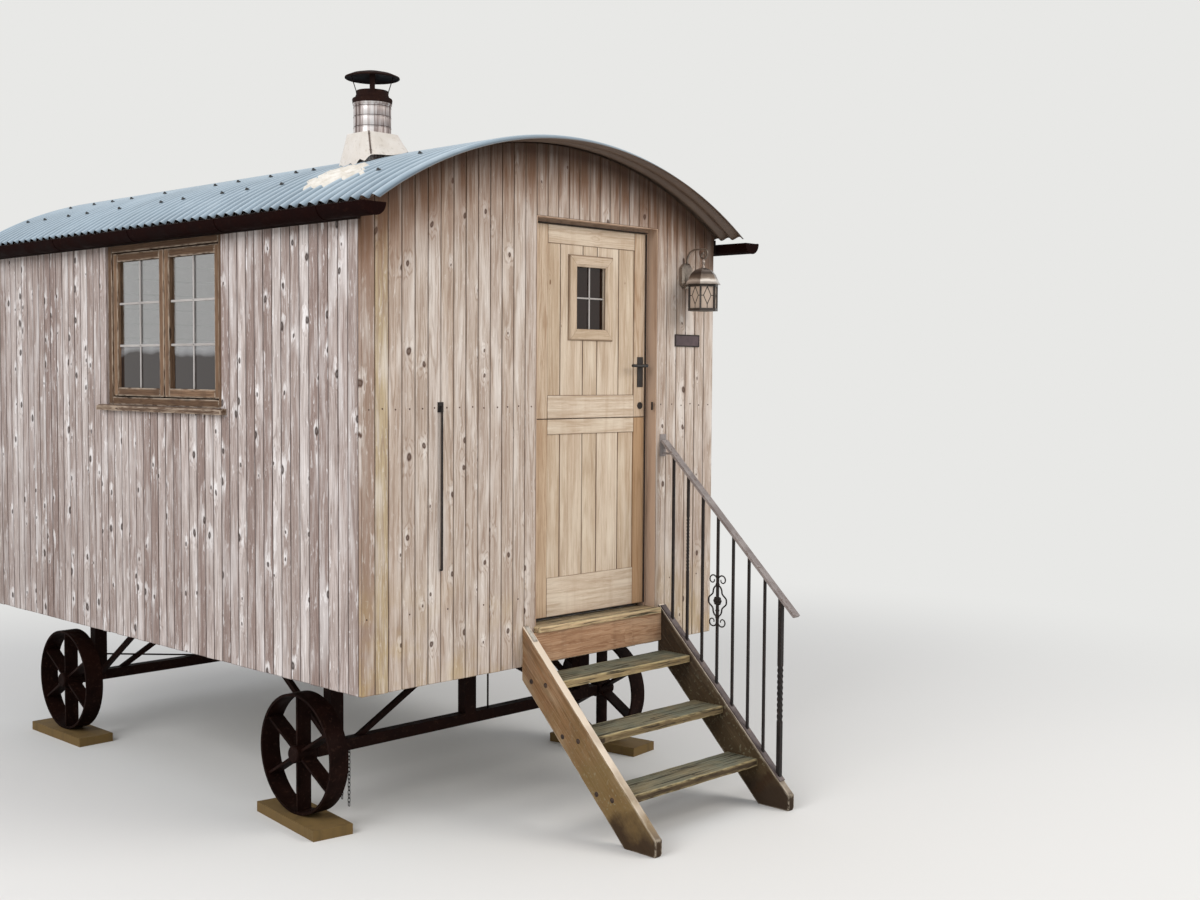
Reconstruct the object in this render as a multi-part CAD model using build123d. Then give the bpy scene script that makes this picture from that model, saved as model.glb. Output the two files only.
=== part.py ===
from build123d import *
from math import asin, atan2, cos, degrees, hypot, pi, radians, sin, sqrt
import os

# A shepherd's hut on four iron wheels: a boarded timber body with a corrugated arched
# roof, a stable door at the front end, a flight of steps with an iron handrail, a flue,
# gutters, a wall lantern and two pairs of casement windows.
# Millimetres, +Z up, X across the hut, Y along it with the door at the -Y end.
# Lengths along Y are first measured from the outer face of the front wall, and the
# finished pieces are then moved so that the origin is the bottom centre of the hut's box.

# Body
body_width = 2394
body_length = 3680
wall = 110
skirt_height = 740
floor_top = 928
floor_thickness = 65
fit_gap = 0.3

# Roof
roof_radius = 2190
crown_height = 3280
corrugation_pitch = 76.2
corrugation_depth = 19
sheet_thickness = 3
eave_overhang = 34
verge_overhang = 179
ceiling_thickness = 45

# Door and its frame
door_left = 1051 - body_width / 2
door_width = 878
door_head = 2930
door_recess = 65
jamb_stop = 20
leaf_gap = 6
leaf_thickness = 44
split_height = 1938
split_gap = 3
leaf_bottom = 948
hinge_stile = 112
lock_stile = 82
top_rail = 92
meeting_rail_upper = 116
meeting_rail_lower = 76
bottom_rail = 196
panel_sink = 5
groove_width = 7
groove_places = (1280, 1440, 1545, 1705)
hinge_knuckle = 5.5
hinge_heights = (1120, 1760, 2120, 2760)
hinge_length = 90
hinge_tab = 4
jamb_board = 4

# Small window in the upper leaf
light_left = 1392
light_width = 206
light_bottom = 2392
light_height = 314
light_moulding = 58
moulding_proud = 9
moulding_chamfer = 12
glass_thickness = 6

# Lever handle and escutcheon
handle_from_left = 1868
handle_plate_low = 2098
handle_plate_height = 158
handle_plate_width = 42
handle_plate_thickness = 4
lever_height = 112
lever_reach = 46
lever_radius = 8
lever_length = 109
lever_tail = 4
keyhole_height = 2000
keyhole_radius = 18
keyhole_thickness = 5

# Side windows
window_start = 1124
window_width = 1141
window_sill_height = 1985
window_height = 852
window_frame = 40
window_frame_depth = 80
window_recess = 12
casement_bar = 46
casement_depth = 44
casement_gap = 4
casement_recess = 8
sill_height = 32
sill_reach = 38
sill_horn = 52
sill_weathering = 14
sill_weathering_depth = 8

# Steps
rise = 232
run = 228
tread_thickness = 40
tread_depth = 200
stringer_thickness = 46
stringer_depth = 190
stringer_left = 963 - body_width / 2
stringer_right = 1958 - body_width / 2
stringer_top = 940
stringer_nose = 78
stringer_reach = 876
threshold_thickness = 30
threshold_reach = 42
threshold_horn = 10
riser_height = 150
riser_thickness = 24

# Handrail
rail_wall_height = 1826
rail_end_height = 975
rail_reach = 892
rail_width = 46
rail_thickness = 14
rail_start = 14
rail_plate_thickness = 6
rail_plate_below = 95
rail_plate_above = 22
rail_arm = 10
rail_arm_reach = 60
bar_section = 12
newel_section = 22
baluster_count = 8
first_baluster = 83
baluster_spacing = 102
foot_bar_width = 38
foot_bar_thickness = 8
scroll_bar = 7
curl_radius = 26
curl_sweep = 285
curl_height = 126
lyre_radius = 54
lyre_tie_radius = 18
rosette_radius = 21
rosette_thickness = 20
ornament_height = 452
ornament_number = 3

# Underframe, axles and wheels
chassis_rail_inset = 337
chassis_rail_width = 75
chassis_depth = 118
front_axle_place = 675
rear_axle_place = 3050
axle_height = 340
axle_section = 58
axle_leg_width = 75
axle_leg_depth = 60
strut_section = 26
wheel_radius = 290
wheel_width = 102
wheel_face_inset = 111
rim_thickness = 12
spoke_count = 6
spoke_thickness = 13
spoke_depth = 78
hub_radius = 42
hub_length = 128
stub_radius = 18
hub_bore_gap = 0.6
hub_cap = 10
hub_chamfer = 6
axle_clearance = 3
strut_foot_inset = 440
radius_rod_run = 610
stay_head = 20
tie_rod_radius = 5
tie_rod_height = 465
drop_rod_place = 147
plank_length = 600
plank_width = 205
front_plank_turn = 8
rear_plank_turn = 0

# Gutters
gutter_radius = 56
gutter_wall = 3
gutter_end_space = 30
gutter_drop = 30
gutter_overrun = 205
fascia_depth = 120
fascia_thickness = 20
bracket_width = 26
bracket_count = 4
bracket_strap = 4
bracket_end_space = 60
bracket_tongue = 8
bracket_tongue_below = 24
bracket_tongue_above = 16

# Flue
flue_x = 580 - body_width / 2
flue_y = 679
flue_radius = 95
flue_bore = 75
flue_inside = 60
flue_rise = 216
flue_mouth_height = 56
flue_mouth_radius = 68
cowl_radius = 134
cowl_clear = 50
cowl_thickness = 36
flashing_half = 150
flashing_rise = 48
seam_drops = (115, 67, 21)
seam_width = 14
seam_proud = 2.5
mouth_wall = 5
shoulder_height = 8
strap_width = 22
strap_thickness = 5
strap_lap = 30
strap_count = 4
cowl_slope = 70
flashing_depth = 260
flashing_collar = 8
flashing_spread = 1.3

# Lantern, plate and cabin hook on the front wall
lantern_inset = 247
lantern_reach = 132
lantern_brim = 100
lantern_radius = 84
lantern_low = 2504
lantern_body_height = 140
lantern_base_height = 14
lantern_top_rim = 12
lantern_cap_height = 90
finial_height = 48
finial_radius = 9
lantern_post = 9
backplate_width = 84
backplate_height = 134
backplate_thickness = 30
backplate_below_eave = 17
backplate_corner = 24
backplate_bevel = 10
neck_bar = 9
neck_bend = 58
scroll_bend = 25
scroll_curl = 15
plate_inset = 222
plate_middle = 2348
plate_width = 200
plate_height = 65
plate_thickness = 5
hook_x = 446 - body_width / 2
hook_top = 2012
hook_length = 750
hook_rod = 5
staple_width = 32
staple_plate = 4
staple_above = 20
staple_below = 26
hook_clear = 9

half = body_width / 2
roof_centre_z = crown_height - roof_radius
flue_shoulder = crown_height + flue_rise
flue_mouth = flue_shoulder + flue_mouth_height
cowl_low = flue_mouth + cowl_clear
flashing_top = crown_height + flashing_rise
lantern_x = half - lantern_inset
plate_x = half - plate_inset
lantern_eave = lantern_low + lantern_body_height
lantern_crown = lantern_eave + lantern_cap_height
lantern_tip = lantern_crown + finial_height
chassis_rail_place = half - chassis_rail_inset
strut_foot = half - strut_foot_inset
plank_thickness = axle_height - wheel_radius - fit_gap
roof_length = body_length + 2 * verge_overhang
rail_slope = (rail_wall_height - rail_end_height) / rail_reach
stringer_slope = (stringer_top - stringer_nose) / stringer_reach


def block(x0, x1, y0, y1, z0, z1):
    """A box from its lowest and highest corners."""
    return Pos((x0 + x1) / 2, (y0 + y1) / 2, (z0 + z1) / 2) * Box(x1 - x0, y1 - y0, z1 - z0)


def under_arc(radius, y0, y1):
    """The space under the roof's arch of this radius, between two places along the hut."""
    drum = Cylinder(radius, y1 - y0, rotation=(90, 0, 0))
    return Pos(0, (y0 + y1) / 2, roof_centre_z) * drum


def bar_between(start, end, width, depth, side=(0, 1, 0)):
    """A square-ended bar from one point to another, its width along `side`."""
    path = Vector(*end) - Vector(*start)
    plane = Plane(origin=start, x_dir=side, z_dir=path.normalized())
    return extrude(plane * Rectangle(width, depth), path.length)


def rod_between(start, end, radius):
    """A round rod from one point to another."""
    path = Vector(*end) - Vector(*start)
    plane = Plane(origin=start, z_dir=path.normalized())
    return extrude(plane * Circle(radius), path.length)


pieces = {}

# Walls: boxes trimmed by the arch of the roof
trim = under_arc(roof_radius - fit_gap, 0, body_length)
wall_top = crown_height
left_wall = block(-half, -half + wall, 0, body_length, skirt_height, wall_top) & trim
window_hole = block(-half - 1, -half + wall + 1, window_start, window_start + window_width,
                    window_sill_height, window_sill_height + window_height)
left_wall -= window_hole
pieces["left_wall"] = left_wall
pieces["right_wall"] = mirror(left_wall, about=Plane.YZ)
inner = half - wall
pieces["rear_wall"] = block(-inner, inner, body_length - wall, body_length, skirt_height, wall_top) & trim
door_right = door_left + door_width
pieces["front_wall_left"] = block(-inner, door_left, 0, wall, skirt_height, wall_top) & trim
pieces["front_wall_right"] = block(door_right, inner, 0, wall, skirt_height, wall_top) & trim
over_door = block(door_left, door_right, 0, wall, door_head, wall_top) & trim
pieces["front_wall_over_door"] = over_door

# Floor, and the arched lining inside the roof
floor_bottom = floor_top - floor_thickness
pieces["floor"] = block(-inner, inner, wall, body_length - wall, floor_bottom, floor_top)
lining = under_arc(roof_radius - fit_gap, wall, body_length - wall)
lining -= under_arc(roof_radius - ceiling_thickness, wall - 1, body_length - wall + 1)
lining &= block(-inner, inner, wall, body_length - wall, floor_top, crown_height)
pieces["ceiling"] = lining

# Roof sheet: one corrugated ribbon carried round the arch from eave to eave
pitches = round(roof_length / corrugation_pitch)
pitch = roof_length / pitches
crest_flat = pitch * 0.22
flank = pitch / 2 - crest_flat
corners = ((crest_flat / 2, corrugation_depth), (crest_flat / 2 + flank, 0),
           (pitch / 2 + crest_flat / 2, 0), (pitch - crest_flat / 2, corrugation_depth))
lower = [(-verge_overhang, corrugation_depth)]
for number in range(pitches):
    lower += [(number * pitch - verge_overhang + along, height) for along, height in corners]
lower.append((body_length + verge_overhang, corrugation_depth))
upper = [(along, height + sheet_thickness) for along, height in reversed(lower)]
ribbon_plane = Plane(origin=(0, 0, roof_centre_z), x_dir=(0, 1, 0), z_dir=(1, 0, 0))
ribbon = ribbon_plane * make_face(Polyline([(a, b + roof_radius) for a, b in lower + upper], close=True))
eave_angle = degrees(asin((half + eave_overhang) / roof_radius))
roof_axis = Axis((0, 0, roof_centre_z), (0, 1, 0))
ribbon = ribbon.rotate(roof_axis, -eave_angle)
pieces["roof_sheet"] = revolve(ribbon, roof_axis, 2 * eave_angle)

# Fascias and gutters
eave_z = roof_centre_z + sqrt(roof_radius ** 2 - (half + eave_overhang) ** 2)
fascia_top = roof_centre_z + sqrt((roof_radius - fit_gap) ** 2 - (half + fascia_thickness) ** 2) - fit_gap


def fascia(side):
    """The board under one eave that carries the gutter."""
    x0 = side * half
    x1 = side * (half + fascia_thickness)
    overrun = gutter_overrun - gutter_end_space
    fascia_low = fascia_top - fascia_depth
    return block(min(x0, x1), max(x0, x1), -overrun, body_length + overrun, fascia_low, fascia_top)


pieces["fascia_boards"] = fascia(-1) + fascia(1)


def gutter(side):
    """A half-round channel with stop ends, held to the fascia by cast brackets."""
    length = body_length + 2 * gutter_overrun
    x = side * (half + fascia_thickness + gutter_radius + fit_gap)
    z = eave_z - gutter_drop
    outer = Cylinder(gutter_radius, length, rotation=(90, 0, 0))
    hollow = Cylinder(gutter_radius - gutter_wall, length - 2 * gutter_wall, rotation=(90, 0, 0))
    channel = outer - hollow
    channel -= block(-gutter_radius * 2, gutter_radius * 2, -length, length, 0, gutter_radius * 2)
    strap = Cylinder(gutter_radius + bracket_strap, bracket_width, rotation=(90, 0, 0))
    strap -= Cylinder(gutter_radius - gutter_wall / 3, bracket_width, rotation=(90, 0, 0))
    strap -= block(-half, half, -bracket_width, bracket_width, 0, half)
    back = -side * (gutter_radius + fit_gap)
    strap -= block(min(back, back - side * half), max(back, back - side * half), -half, half, -half, half)
    strap += block(min(back, back + side * bracket_tongue), max(back, back + side * bracket_tongue),
                   -bracket_width / 2, bracket_width / 2, -bracket_tongue_below, bracket_tongue_above)
    first = -length / 2 + bracket_end_space
    for number in range(bracket_count):
        channel += Pos(0, first - 2 * first * number / (bracket_count - 1), 0) * strap
    return Pos(x, body_length / 2, z) * channel


pieces["gutter_left"] = gutter(-1)
pieces["gutter_right"] = gutter(1)


def ring(x0, x1, y0, y1, z0, z1, border):
    """An upright rectangular frame in a side wall, as thick as x1 - x0."""
    frame = block(x0, x1, y0, y1, z0, z1)
    return frame - block(x0 - 1, x1 + 1, y0 + border, y1 - border, z0 + border, z1 - border)


def window(side):
    """The outer frame, its two casements, their glass and the sill of one side window."""
    face = half - window_recess
    y0 = window_start + fit_gap
    y1 = window_start + window_width - fit_gap
    z0 = window_sill_height + fit_gap
    z1 = window_sill_height + window_height - fit_gap
    frame = ring(face - window_frame_depth, face, y0, y1, z0, z1, window_frame)
    middle = (y0 + y1) / 2
    frame += block(face - window_frame_depth, face, middle - window_frame / 2, middle + window_frame / 2,
                   z0 + window_frame, z1 - window_frame)
    leaves = []
    panes = []
    bays = ((y0 + window_frame, middle - window_frame / 2), (middle + window_frame / 2, y1 - window_frame))
    for start, end in bays:
        hinge_first = start < middle - window_frame
        a = start + (fit_gap if hinge_first else casement_gap)
        b = end - (casement_gap if hinge_first else fit_gap)
        c = z0 + window_frame + casement_gap
        d = z1 - window_frame - casement_gap
        x1 = face - casement_recess
        x0 = x1 - casement_depth
        leaves.append(ring(x0, x1, a, b, c, d, casement_bar))
        glass_x = (x0 + x1) / 2
        panes.append(block(glass_x - glass_thickness / 2, glass_x + glass_thickness / 2,
                           a + casement_bar, b - casement_bar, c + casement_bar, d - casement_bar))
    sill = block(half, half + sill_reach, window_start - sill_horn, window_start + window_width + sill_horn,
                 window_sill_height - sill_height, window_sill_height)
    front_edge = sill.edges().filter_by(Axis.Y).sort_by(Axis.X)[-2:]
    sill = chamfer(front_edge.sort_by(Axis.Z)[-1:], sill_weathering, sill_weathering_depth)
    made = [frame, leaves[0] + leaves[1], panes[0] + panes[1], sill]
    if side < 0:
        made = [mirror(shape, about=Plane.YZ) for shape in made]
    return made


for side, name in ((-1, "left"), (1, "right")):
    frame, leaves, panes, sill = window(side)
    pieces[name + "_window_frame"] = frame
    pieces[name + "_casements"] = leaves
    pieces[name + "_window_glass"] = panes
    pieces[name + "_window_sill"] = sill

# Door frame: jambs and head lining the opening, with the stop that the leaves sit beside
frame_depth = wall
jambs = block(door_left + fit_gap, door_right - fit_gap, 0, frame_depth, floor_top, door_head - fit_gap)
jambs -= block(door_left + jamb_board, door_right - jamb_board, -1, door_recess, 0, door_head - jamb_board)
clear_left = door_left + jamb_stop
clear_right = door_right - jamb_stop
clear_top = door_head - jamb_stop
jambs -= block(clear_left, clear_right, -1, frame_depth + 1, 0, clear_top)
pieces["door_frame"] = jambs

# The two leaves of the stable door
leaf_left = clear_left + leaf_gap
leaf_right = clear_right - leaf_gap
leaf_top = clear_top - leaf_gap


def leaf(z0, z1, low_rail, high_rail):
    """A framed leaf with a sunk, grooved panel between its stiles and rails."""
    y0 = door_recess
    body = block(leaf_left, leaf_right, y0, y0 + leaf_thickness, z0, z1)
    a = leaf_left + hinge_stile
    b = leaf_right - lock_stile
    body -= block(a, b, y0 - 1, y0 + panel_sink, z0 + low_rail, z1 - high_rail)
    inside = y0 + leaf_thickness
    body -= block(a, b, inside - panel_sink, inside + 1, z0 + low_rail, z1 - high_rail)
    for place in groove_places:
        x = place - half
        groove = block(x - groove_width / 2, x + groove_width / 2, y0, y0 + panel_sink + groove_width / 2,
                       z0 + low_rail, z1 - high_rail)
        body -= groove
    return body


upper_leaf = leaf(split_height + split_gap, leaf_top, meeting_rail_upper, top_rail)
light_x0 = light_left - half
light_x1 = light_x0 + light_width
light_z1 = light_bottom + light_height
upper_leaf -= block(light_x0, light_x1, 0, wall * 2, light_bottom, light_z1)
pieces["door_upper_leaf"] = upper_leaf
pieces["door_lower_leaf"] = leaf(leaf_bottom, split_height, bottom_rail, meeting_rail_lower)

panel_face = door_recess + panel_sink


def light_frame():
    """The mitred moulding round the small window, standing on the panel's face."""
    m = light_moulding
    y0 = door_recess - moulding_proud
    frame = block(light_x0 - m, light_x1 + m, y0, panel_face, light_bottom - m, light_z1 + m)
    edges = frame.edges().filter_by(lambda e: abs(e.center().Y - y0) < 1e-6)
    frame = chamfer(edges, moulding_chamfer)
    frame -= block(light_x0, light_x1, 0, panel_face + 1, light_bottom, light_z1)
    return frame


pieces["door_light_moulding"] = light_frame()
light_middle = door_recess + leaf_thickness / 2
pieces["door_glass"] = block(light_x0 + fit_gap, light_x1 - fit_gap, light_middle - glass_thickness / 2,
                             light_middle + glass_thickness / 2, light_bottom + fit_gap, light_z1 - fit_gap)

# Door furniture: a lever on its plate, and the escutcheon below it
handle_x = handle_from_left - half
handle_plate = block(handle_x - handle_plate_width / 2, handle_x + handle_plate_width / 2,
                     door_recess - handle_plate_thickness, door_recess,
                     handle_plate_low, handle_plate_low + handle_plate_height)
lever_z = handle_plate_low + lever_height
lever_y = door_recess - lever_reach
spindle_end = (handle_x, lever_y - lever_radius, lever_z)
spindle = rod_between((handle_x, door_recess, lever_z), spindle_end, lever_radius + 1)
lever_start = handle_x + lever_tail
lever = rod_between((lever_start, lever_y, lever_z), (lever_start - lever_length, lever_y, lever_z), lever_radius)
keyhole = Pos(handle_x, door_recess - keyhole_thickness / 2, keyhole_height) * Cylinder(
    keyhole_radius, keyhole_thickness, rotation=(90, 0, 0))
pieces["door_handle"] = handle_plate + spindle + lever + keyhole

# Hinge knuckles in the angle between the jamb and the leaves
pivot_x = clear_left + leaf_gap / 2
pivot_y = door_recess - sqrt((hinge_knuckle + fit_gap) ** 2 - (leaf_gap / 2) ** 2)
hinges = []
for z in hinge_heights:
    knuckle = Pos(pivot_x, pivot_y, z) * Cylinder(hinge_knuckle, hinge_length)
    tab = block(door_left + jamb_board, pivot_x, pivot_y - hinge_tab / 2, pivot_y + hinge_tab / 2,
                z - hinge_length / 2, z + hinge_length / 2)
    hinges.append(knuckle + tab)
pieces["door_hinges"] = Compound(children=hinges)

# Steps: threshold, riser board, two stringers and three treads
threshold_top = floor_top
threshold_low = threshold_top - threshold_thickness
nosing = block(door_left - threshold_horn, door_right + threshold_horn, -threshold_reach, 0,
               threshold_low, threshold_top)
sill_board = block(door_left, door_right, 0, wall, threshold_low, threshold_top)
pieces["threshold"] = nosing + sill_board
pieces["front_wall_under_door"] = block(door_left, door_right, 0, wall, skirt_height, threshold_low)
tread_left = stringer_left + stringer_thickness
pieces["step_riser_board"] = block(tread_left, stringer_right, -riser_thickness, 0,
                                   threshold_low - riser_height, threshold_low)


def stringer_line(y):
    """Height of the stringers' upper edge at a place in front of the wall."""
    return stringer_top + y * stringer_slope


def stringer(x0, x1):
    """A plank cut plumb at the wall and level on the ground."""
    upright = stringer_depth * hypot(1, stringer_slope)
    heel = (upright - stringer_top) / stringer_slope
    outline = [(0, stringer_top), (0, stringer_top - upright), (heel, 0), (-stringer_reach, 0),
               (-stringer_reach, stringer_nose)]
    plane = Plane(origin=(x0, 0, 0), x_dir=(0, 1, 0), z_dir=(1, 0, 0))
    return extrude(plane * make_face(Polyline(outline, close=True)), x1 - x0)


pieces["left_stringer"] = stringer(stringer_left, tread_left)
pieces["right_stringer"] = stringer(stringer_right, stringer_right + stringer_thickness)
for number in (1, 2, 3):
    top = threshold_top - rise * number
    front = -run * number
    tread = block(tread_left, stringer_right, front, front + tread_depth, top - tread_thickness, top)
    pieces["tread_" + str(number)] = tread

# Handrail: a flat foot bar on the stringer, balusters, and a top rail bracketed to the wall
rail_x = stringer_right + stringer_thickness / 2


def rail_line(y):
    """Height of the top rail's middle at a place in front of the wall."""
    return rail_wall_height + y * rail_slope


def flat_bar(height, start, end, width, thickness):
    """A flat bar lying along the line height(y) above the right stringer."""
    near = (rail_x, start, height(start))
    far = (rail_x, end, height(end))
    return bar_between(near, far, width, thickness, side=(1, 0, 0))


handrail = flat_bar(rail_line, -rail_start, -rail_reach, rail_width, rail_thickness)
rail_plate = block(rail_x - rail_width / 2, rail_x + rail_width / 2, -rail_plate_thickness, 0,
                   rail_wall_height - rail_plate_below, rail_wall_height + rail_plate_above)
arm_high = rail_wall_height - rail_plate_below + 2 * rail_arm
rail_arm_bar = block(rail_x - rail_arm / 2, rail_x + rail_arm / 2, -rail_arm_reach, -rail_plate_thickness,
                     arm_high - rail_arm, arm_high)
rail_post = block(rail_x - rail_arm / 2, rail_x + rail_arm / 2, -rail_arm_reach, -rail_arm_reach + rail_arm,
                  arm_high - rail_arm, rail_line(-rail_arm_reach))
pieces["handrail"] = handrail + rail_plate + rail_arm_bar + rail_post

foot_rise = foot_bar_thickness / 2 * hypot(1, stringer_slope)


def foot_line(y):
    """Height of the foot bar's middle at a place in front of the wall."""
    return stringer_line(y) + foot_rise


last_baluster = first_baluster + baluster_spacing * (baluster_count - 1)
foot_end = -last_baluster - newel_section
pieces["foot_bar"] = flat_bar(foot_line, -rail_start, foot_end, foot_bar_width, foot_bar_thickness)

rail_drop = rail_thickness / 2 * hypot(1, rail_slope)
band_start = -first_baluster + baluster_spacing / 2
band_end = -last_baluster - baluster_spacing / 2
band = make_face(Polyline([(band_start, foot_line(band_start) + foot_rise),
                           (band_end, foot_line(band_end) + foot_rise),
                           (band_end, rail_line(band_end) - rail_drop),
                           (band_start, rail_line(band_start) - rail_drop)], close=True))
band_plane = Plane(origin=(rail_x - baluster_spacing, 0, 0), x_dir=(0, 1, 0), z_dir=(1, 0, 0))
baluster_space = extrude(band_plane * band, 2 * baluster_spacing)


def baluster(number, section):
    """One upright bar, cut to the slopes of the foot bar and the rail."""
    y = -first_baluster - baluster_spacing * number
    bar = Pos(rail_x, y, rail_wall_height / 2) * Box(section, section, rail_wall_height)
    return bar & baluster_space


def scroll(y, z, radius, start, sweep):
    """A flat C-shaped arc of bar in the plane of the railing."""
    plane = Plane(origin=(rail_x - scroll_bar / 2, y, z), x_dir=(0, 1, 0), z_dir=(1, 0, 0))
    outer = radius + scroll_bar / 2
    inner = radius - scroll_bar / 2
    band = CenterArc((0, 0), outer, start, sweep)
    back = CenterArc((0, 0), inner, start, sweep)
    sides = [Line(band @ 0, back @ 0), Line(band @ 1, back @ 1)]
    return extrude(plane * make_face([band, back] + sides), scroll_bar)


bars = []
for number in range(baluster_count - 1):
    if number != ornament_number:
        bars.append(baluster(number, bar_section))
bars.append(baluster(baluster_count - 1, newel_section))
pieces["balusters"] = Compound(children=bars)

ornament = baluster(ornament_number, bar_section)
ornament_y = -first_baluster - baluster_spacing * ornament_number
ornament_z = foot_line(ornament_y) + foot_rise + ornament_height
curl_starts = {(1, 1): -165, (-1, 1): 60, (1, -1): -120, (-1, -1): 15}
for (side, end), first_angle in curl_starts.items():
    face = ornament_y + side * bar_section / 2
    tie_z = ornament_z + end * (lyre_radius + lyre_tie_radius)
    curl_z = ornament_z + end * curl_height
    ornament += scroll(face + side * curl_radius, curl_z, curl_radius, first_angle, curl_sweep)
    ornament += scroll(face, tie_z, lyre_tie_radius, -90 * side, 180)
for side in (-1, 1):
    ornament += scroll(ornament_y + side * bar_section / 2, ornament_z, lyre_radius, -90 * side, 180)
rosette = Cylinder(rosette_radius, rosette_thickness, rotation=(0, 90, 0))
ornament += Pos(rail_x, ornament_y, ornament_z) * rosette
pieces["ornamental_baluster"] = ornament

# Chassis: two long steel rails tied by cross bearers
chassis_top = floor_bottom
chassis_low = chassis_top - chassis_depth
end_bearer = wall + chassis_rail_width / 2
middle_bearer = (front_axle_place + rear_axle_place) / 2
chassis = Pos(0, middle_bearer, chassis_low + chassis_depth / 2) * Box(
    2 * chassis_rail_place, chassis_rail_width, chassis_depth)
for place in (end_bearer, front_axle_place, rear_axle_place, body_length - end_bearer):
    chassis += block(-chassis_rail_place, chassis_rail_place, place - chassis_rail_width / 2,
                     place + chassis_rail_width / 2, chassis_low, chassis_top)
for x in (-chassis_rail_place, chassis_rail_place):
    chassis += block(x - chassis_rail_width / 2, x + chassis_rail_width / 2, wall, body_length - wall,
                     chassis_low, chassis_top)
pieces["chassis"] = chassis

# Axles: a beam with a stub at each end, legs and a middle post up to the chassis, and stays
wheel_middle = half - wheel_face_inset - wheel_width / 2
beam_end = wheel_middle - hub_length / 2 - axle_clearance
stub_end = wheel_middle + hub_length / 2 - hub_cap - axle_clearance
beam_half = axle_section / 2


def axle(place, lean):
    """The beam of one axle with all that ties it to the chassis; its radius rods run to place + lean."""
    frame = Pos(0, place, axle_height) * Box(2 * beam_end, axle_section, axle_section)
    frame += Pos(0, place, axle_height) * Cylinder(stub_radius, 2 * stub_end, rotation=(0, 90, 0))
    for x in (-chassis_rail_place, 0, chassis_rail_place):
        frame += block(x - axle_leg_width / 2, x + axle_leg_width / 2, place - axle_leg_depth / 2,
                       place + axle_leg_depth / 2, axle_height, chassis_low)
    reach = abs(lean) + axle_section
    above = block(-half, half, place - reach, place + reach, chassis_low, chassis_top)
    for side in (-1, 1):
        head = chassis_low + stay_head
        foot = (side * strut_foot, place, axle_height)
        stay = bar_between(foot, (0, place, head), strut_section, strut_section)
        rail = side * chassis_rail_place
        radius_rod = bar_between((rail, place, axle_height), (rail, place + lean, head),
                                 strut_section, strut_section, side=(1, 0, 0))
        frame += stay + radius_rod
    return frame - above


pieces["front_axle"] = axle(front_axle_place, radius_rod_run)
drop_rod_length = chassis_low - axle_height
drop_rod = Pos(drop_rod_place, front_axle_place, axle_height + drop_rod_length / 2) * Cylinder(
    tie_rod_radius, drop_rod_length)
pieces["front_axle"] += drop_rod
rear_axle = axle(rear_axle_place, -radius_rod_run)
for side in (-1, 1):
    rear_axle += rod_between((side * chassis_rail_place, rear_axle_place, tie_rod_height),
                             (0, rear_axle_place, axle_height), tie_rod_radius)
pieces["rear_axle"] = rear_axle


def wheel():
    """A six-spoked iron wheel on the X axis, its outer face towards +X, with a blind hub."""
    body = Cylinder(wheel_radius, wheel_width, rotation=(0, 90, 0))
    body -= Cylinder(wheel_radius - rim_thickness, wheel_width, rotation=(0, 90, 0))
    spoke_length = wheel_radius - rim_thickness / 2
    spoke = Pos(0, 0, spoke_length / 2) * Box(spoke_depth, spoke_thickness, spoke_length)
    for number in range(spoke_count):
        body += spoke.rotate(Axis.X, 360 / spoke_count * number)
    hub = Cylinder(hub_radius, hub_length, rotation=(0, 90, 0))
    body += chamfer(hub.edges().filter_by(GeomType.CIRCLE), hub_chamfer)
    bore_end = hub_length / 2 - hub_cap
    bore = Cylinder(stub_radius + hub_bore_gap, hub_length, rotation=(0, 90, 0))
    return body - Pos(bore_end - hub_length / 2, 0, 0) * bore


planks = []
for side, side_name in ((-1, "left"), (1, "right")):
    for place, end_name, turn in ((front_axle_place, "front", front_plank_turn),
                                  (rear_axle_place, "rear", rear_plank_turn)):
        turned = wheel() if side > 0 else wheel().rotate(Axis.Z, 180)
        centre = Pos(side * wheel_middle, place, axle_height)
        pieces["wheel_" + end_name + "_" + side_name] = centre * turned
        plank = Rot(0, 0, turn * side) * Box(plank_width, plank_length, plank_thickness)
        planks.append(Pos(side * wheel_middle, place, plank_thickness / 2) * plank)
pieces["wheel_planks"] = Compound(children=planks)

# Flue: the pipe goes through the sheet and the ceiling; cowl on straps; a pyramid flashing
flue_place = Pos(flue_x, flue_y, 0)
flue_hole = flue_place * Pos(0, 0, crown_height) * Cylinder(flue_radius + fit_gap, crown_height / 2)
pieces["roof_sheet"] -= flue_hole
pieces["ceiling"] -= flue_hole
flue_low = roof_centre_z + sqrt((roof_radius - ceiling_thickness) ** 2 - flue_x ** 2) - flue_inside


def tube(outer, inner, low, high):
    """An upright ring on the flue's axis."""
    shape = Cylinder(outer, high - low) - Cylinder(inner, high - low)
    return flue_place * Pos(0, 0, (low + high) / 2) * shape


pipe = tube(flue_radius, flue_bore, flue_low, flue_shoulder)
for drop in seam_drops:
    z = flue_shoulder - drop
    pipe += tube(flue_radius + seam_proud, flue_bore, z - seam_width / 2, z + seam_width / 2)
pieces["flue_pipe"] = pipe
mouth_bore = flue_mouth_radius - mouth_wall
cowl = tube(flue_radius + seam_proud, mouth_bore, flue_shoulder, flue_shoulder + shoulder_height)
cowl += tube(flue_mouth_radius, mouth_bore, flue_shoulder + shoulder_height, flue_mouth)
cap_thickness = cowl_thickness / 2
cowl += flue_place * Pos(0, 0, cowl_low + cap_thickness / 2) * Cylinder(cowl_radius, cap_thickness)
cap = flue_place * Pos(0, 0, cowl_low + cap_thickness) * Circle(cowl_radius)
cowl += extrude(cap, cap_thickness, taper=cowl_slope)
strap_circle = flue_mouth_radius - strap_thickness / 2
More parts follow.
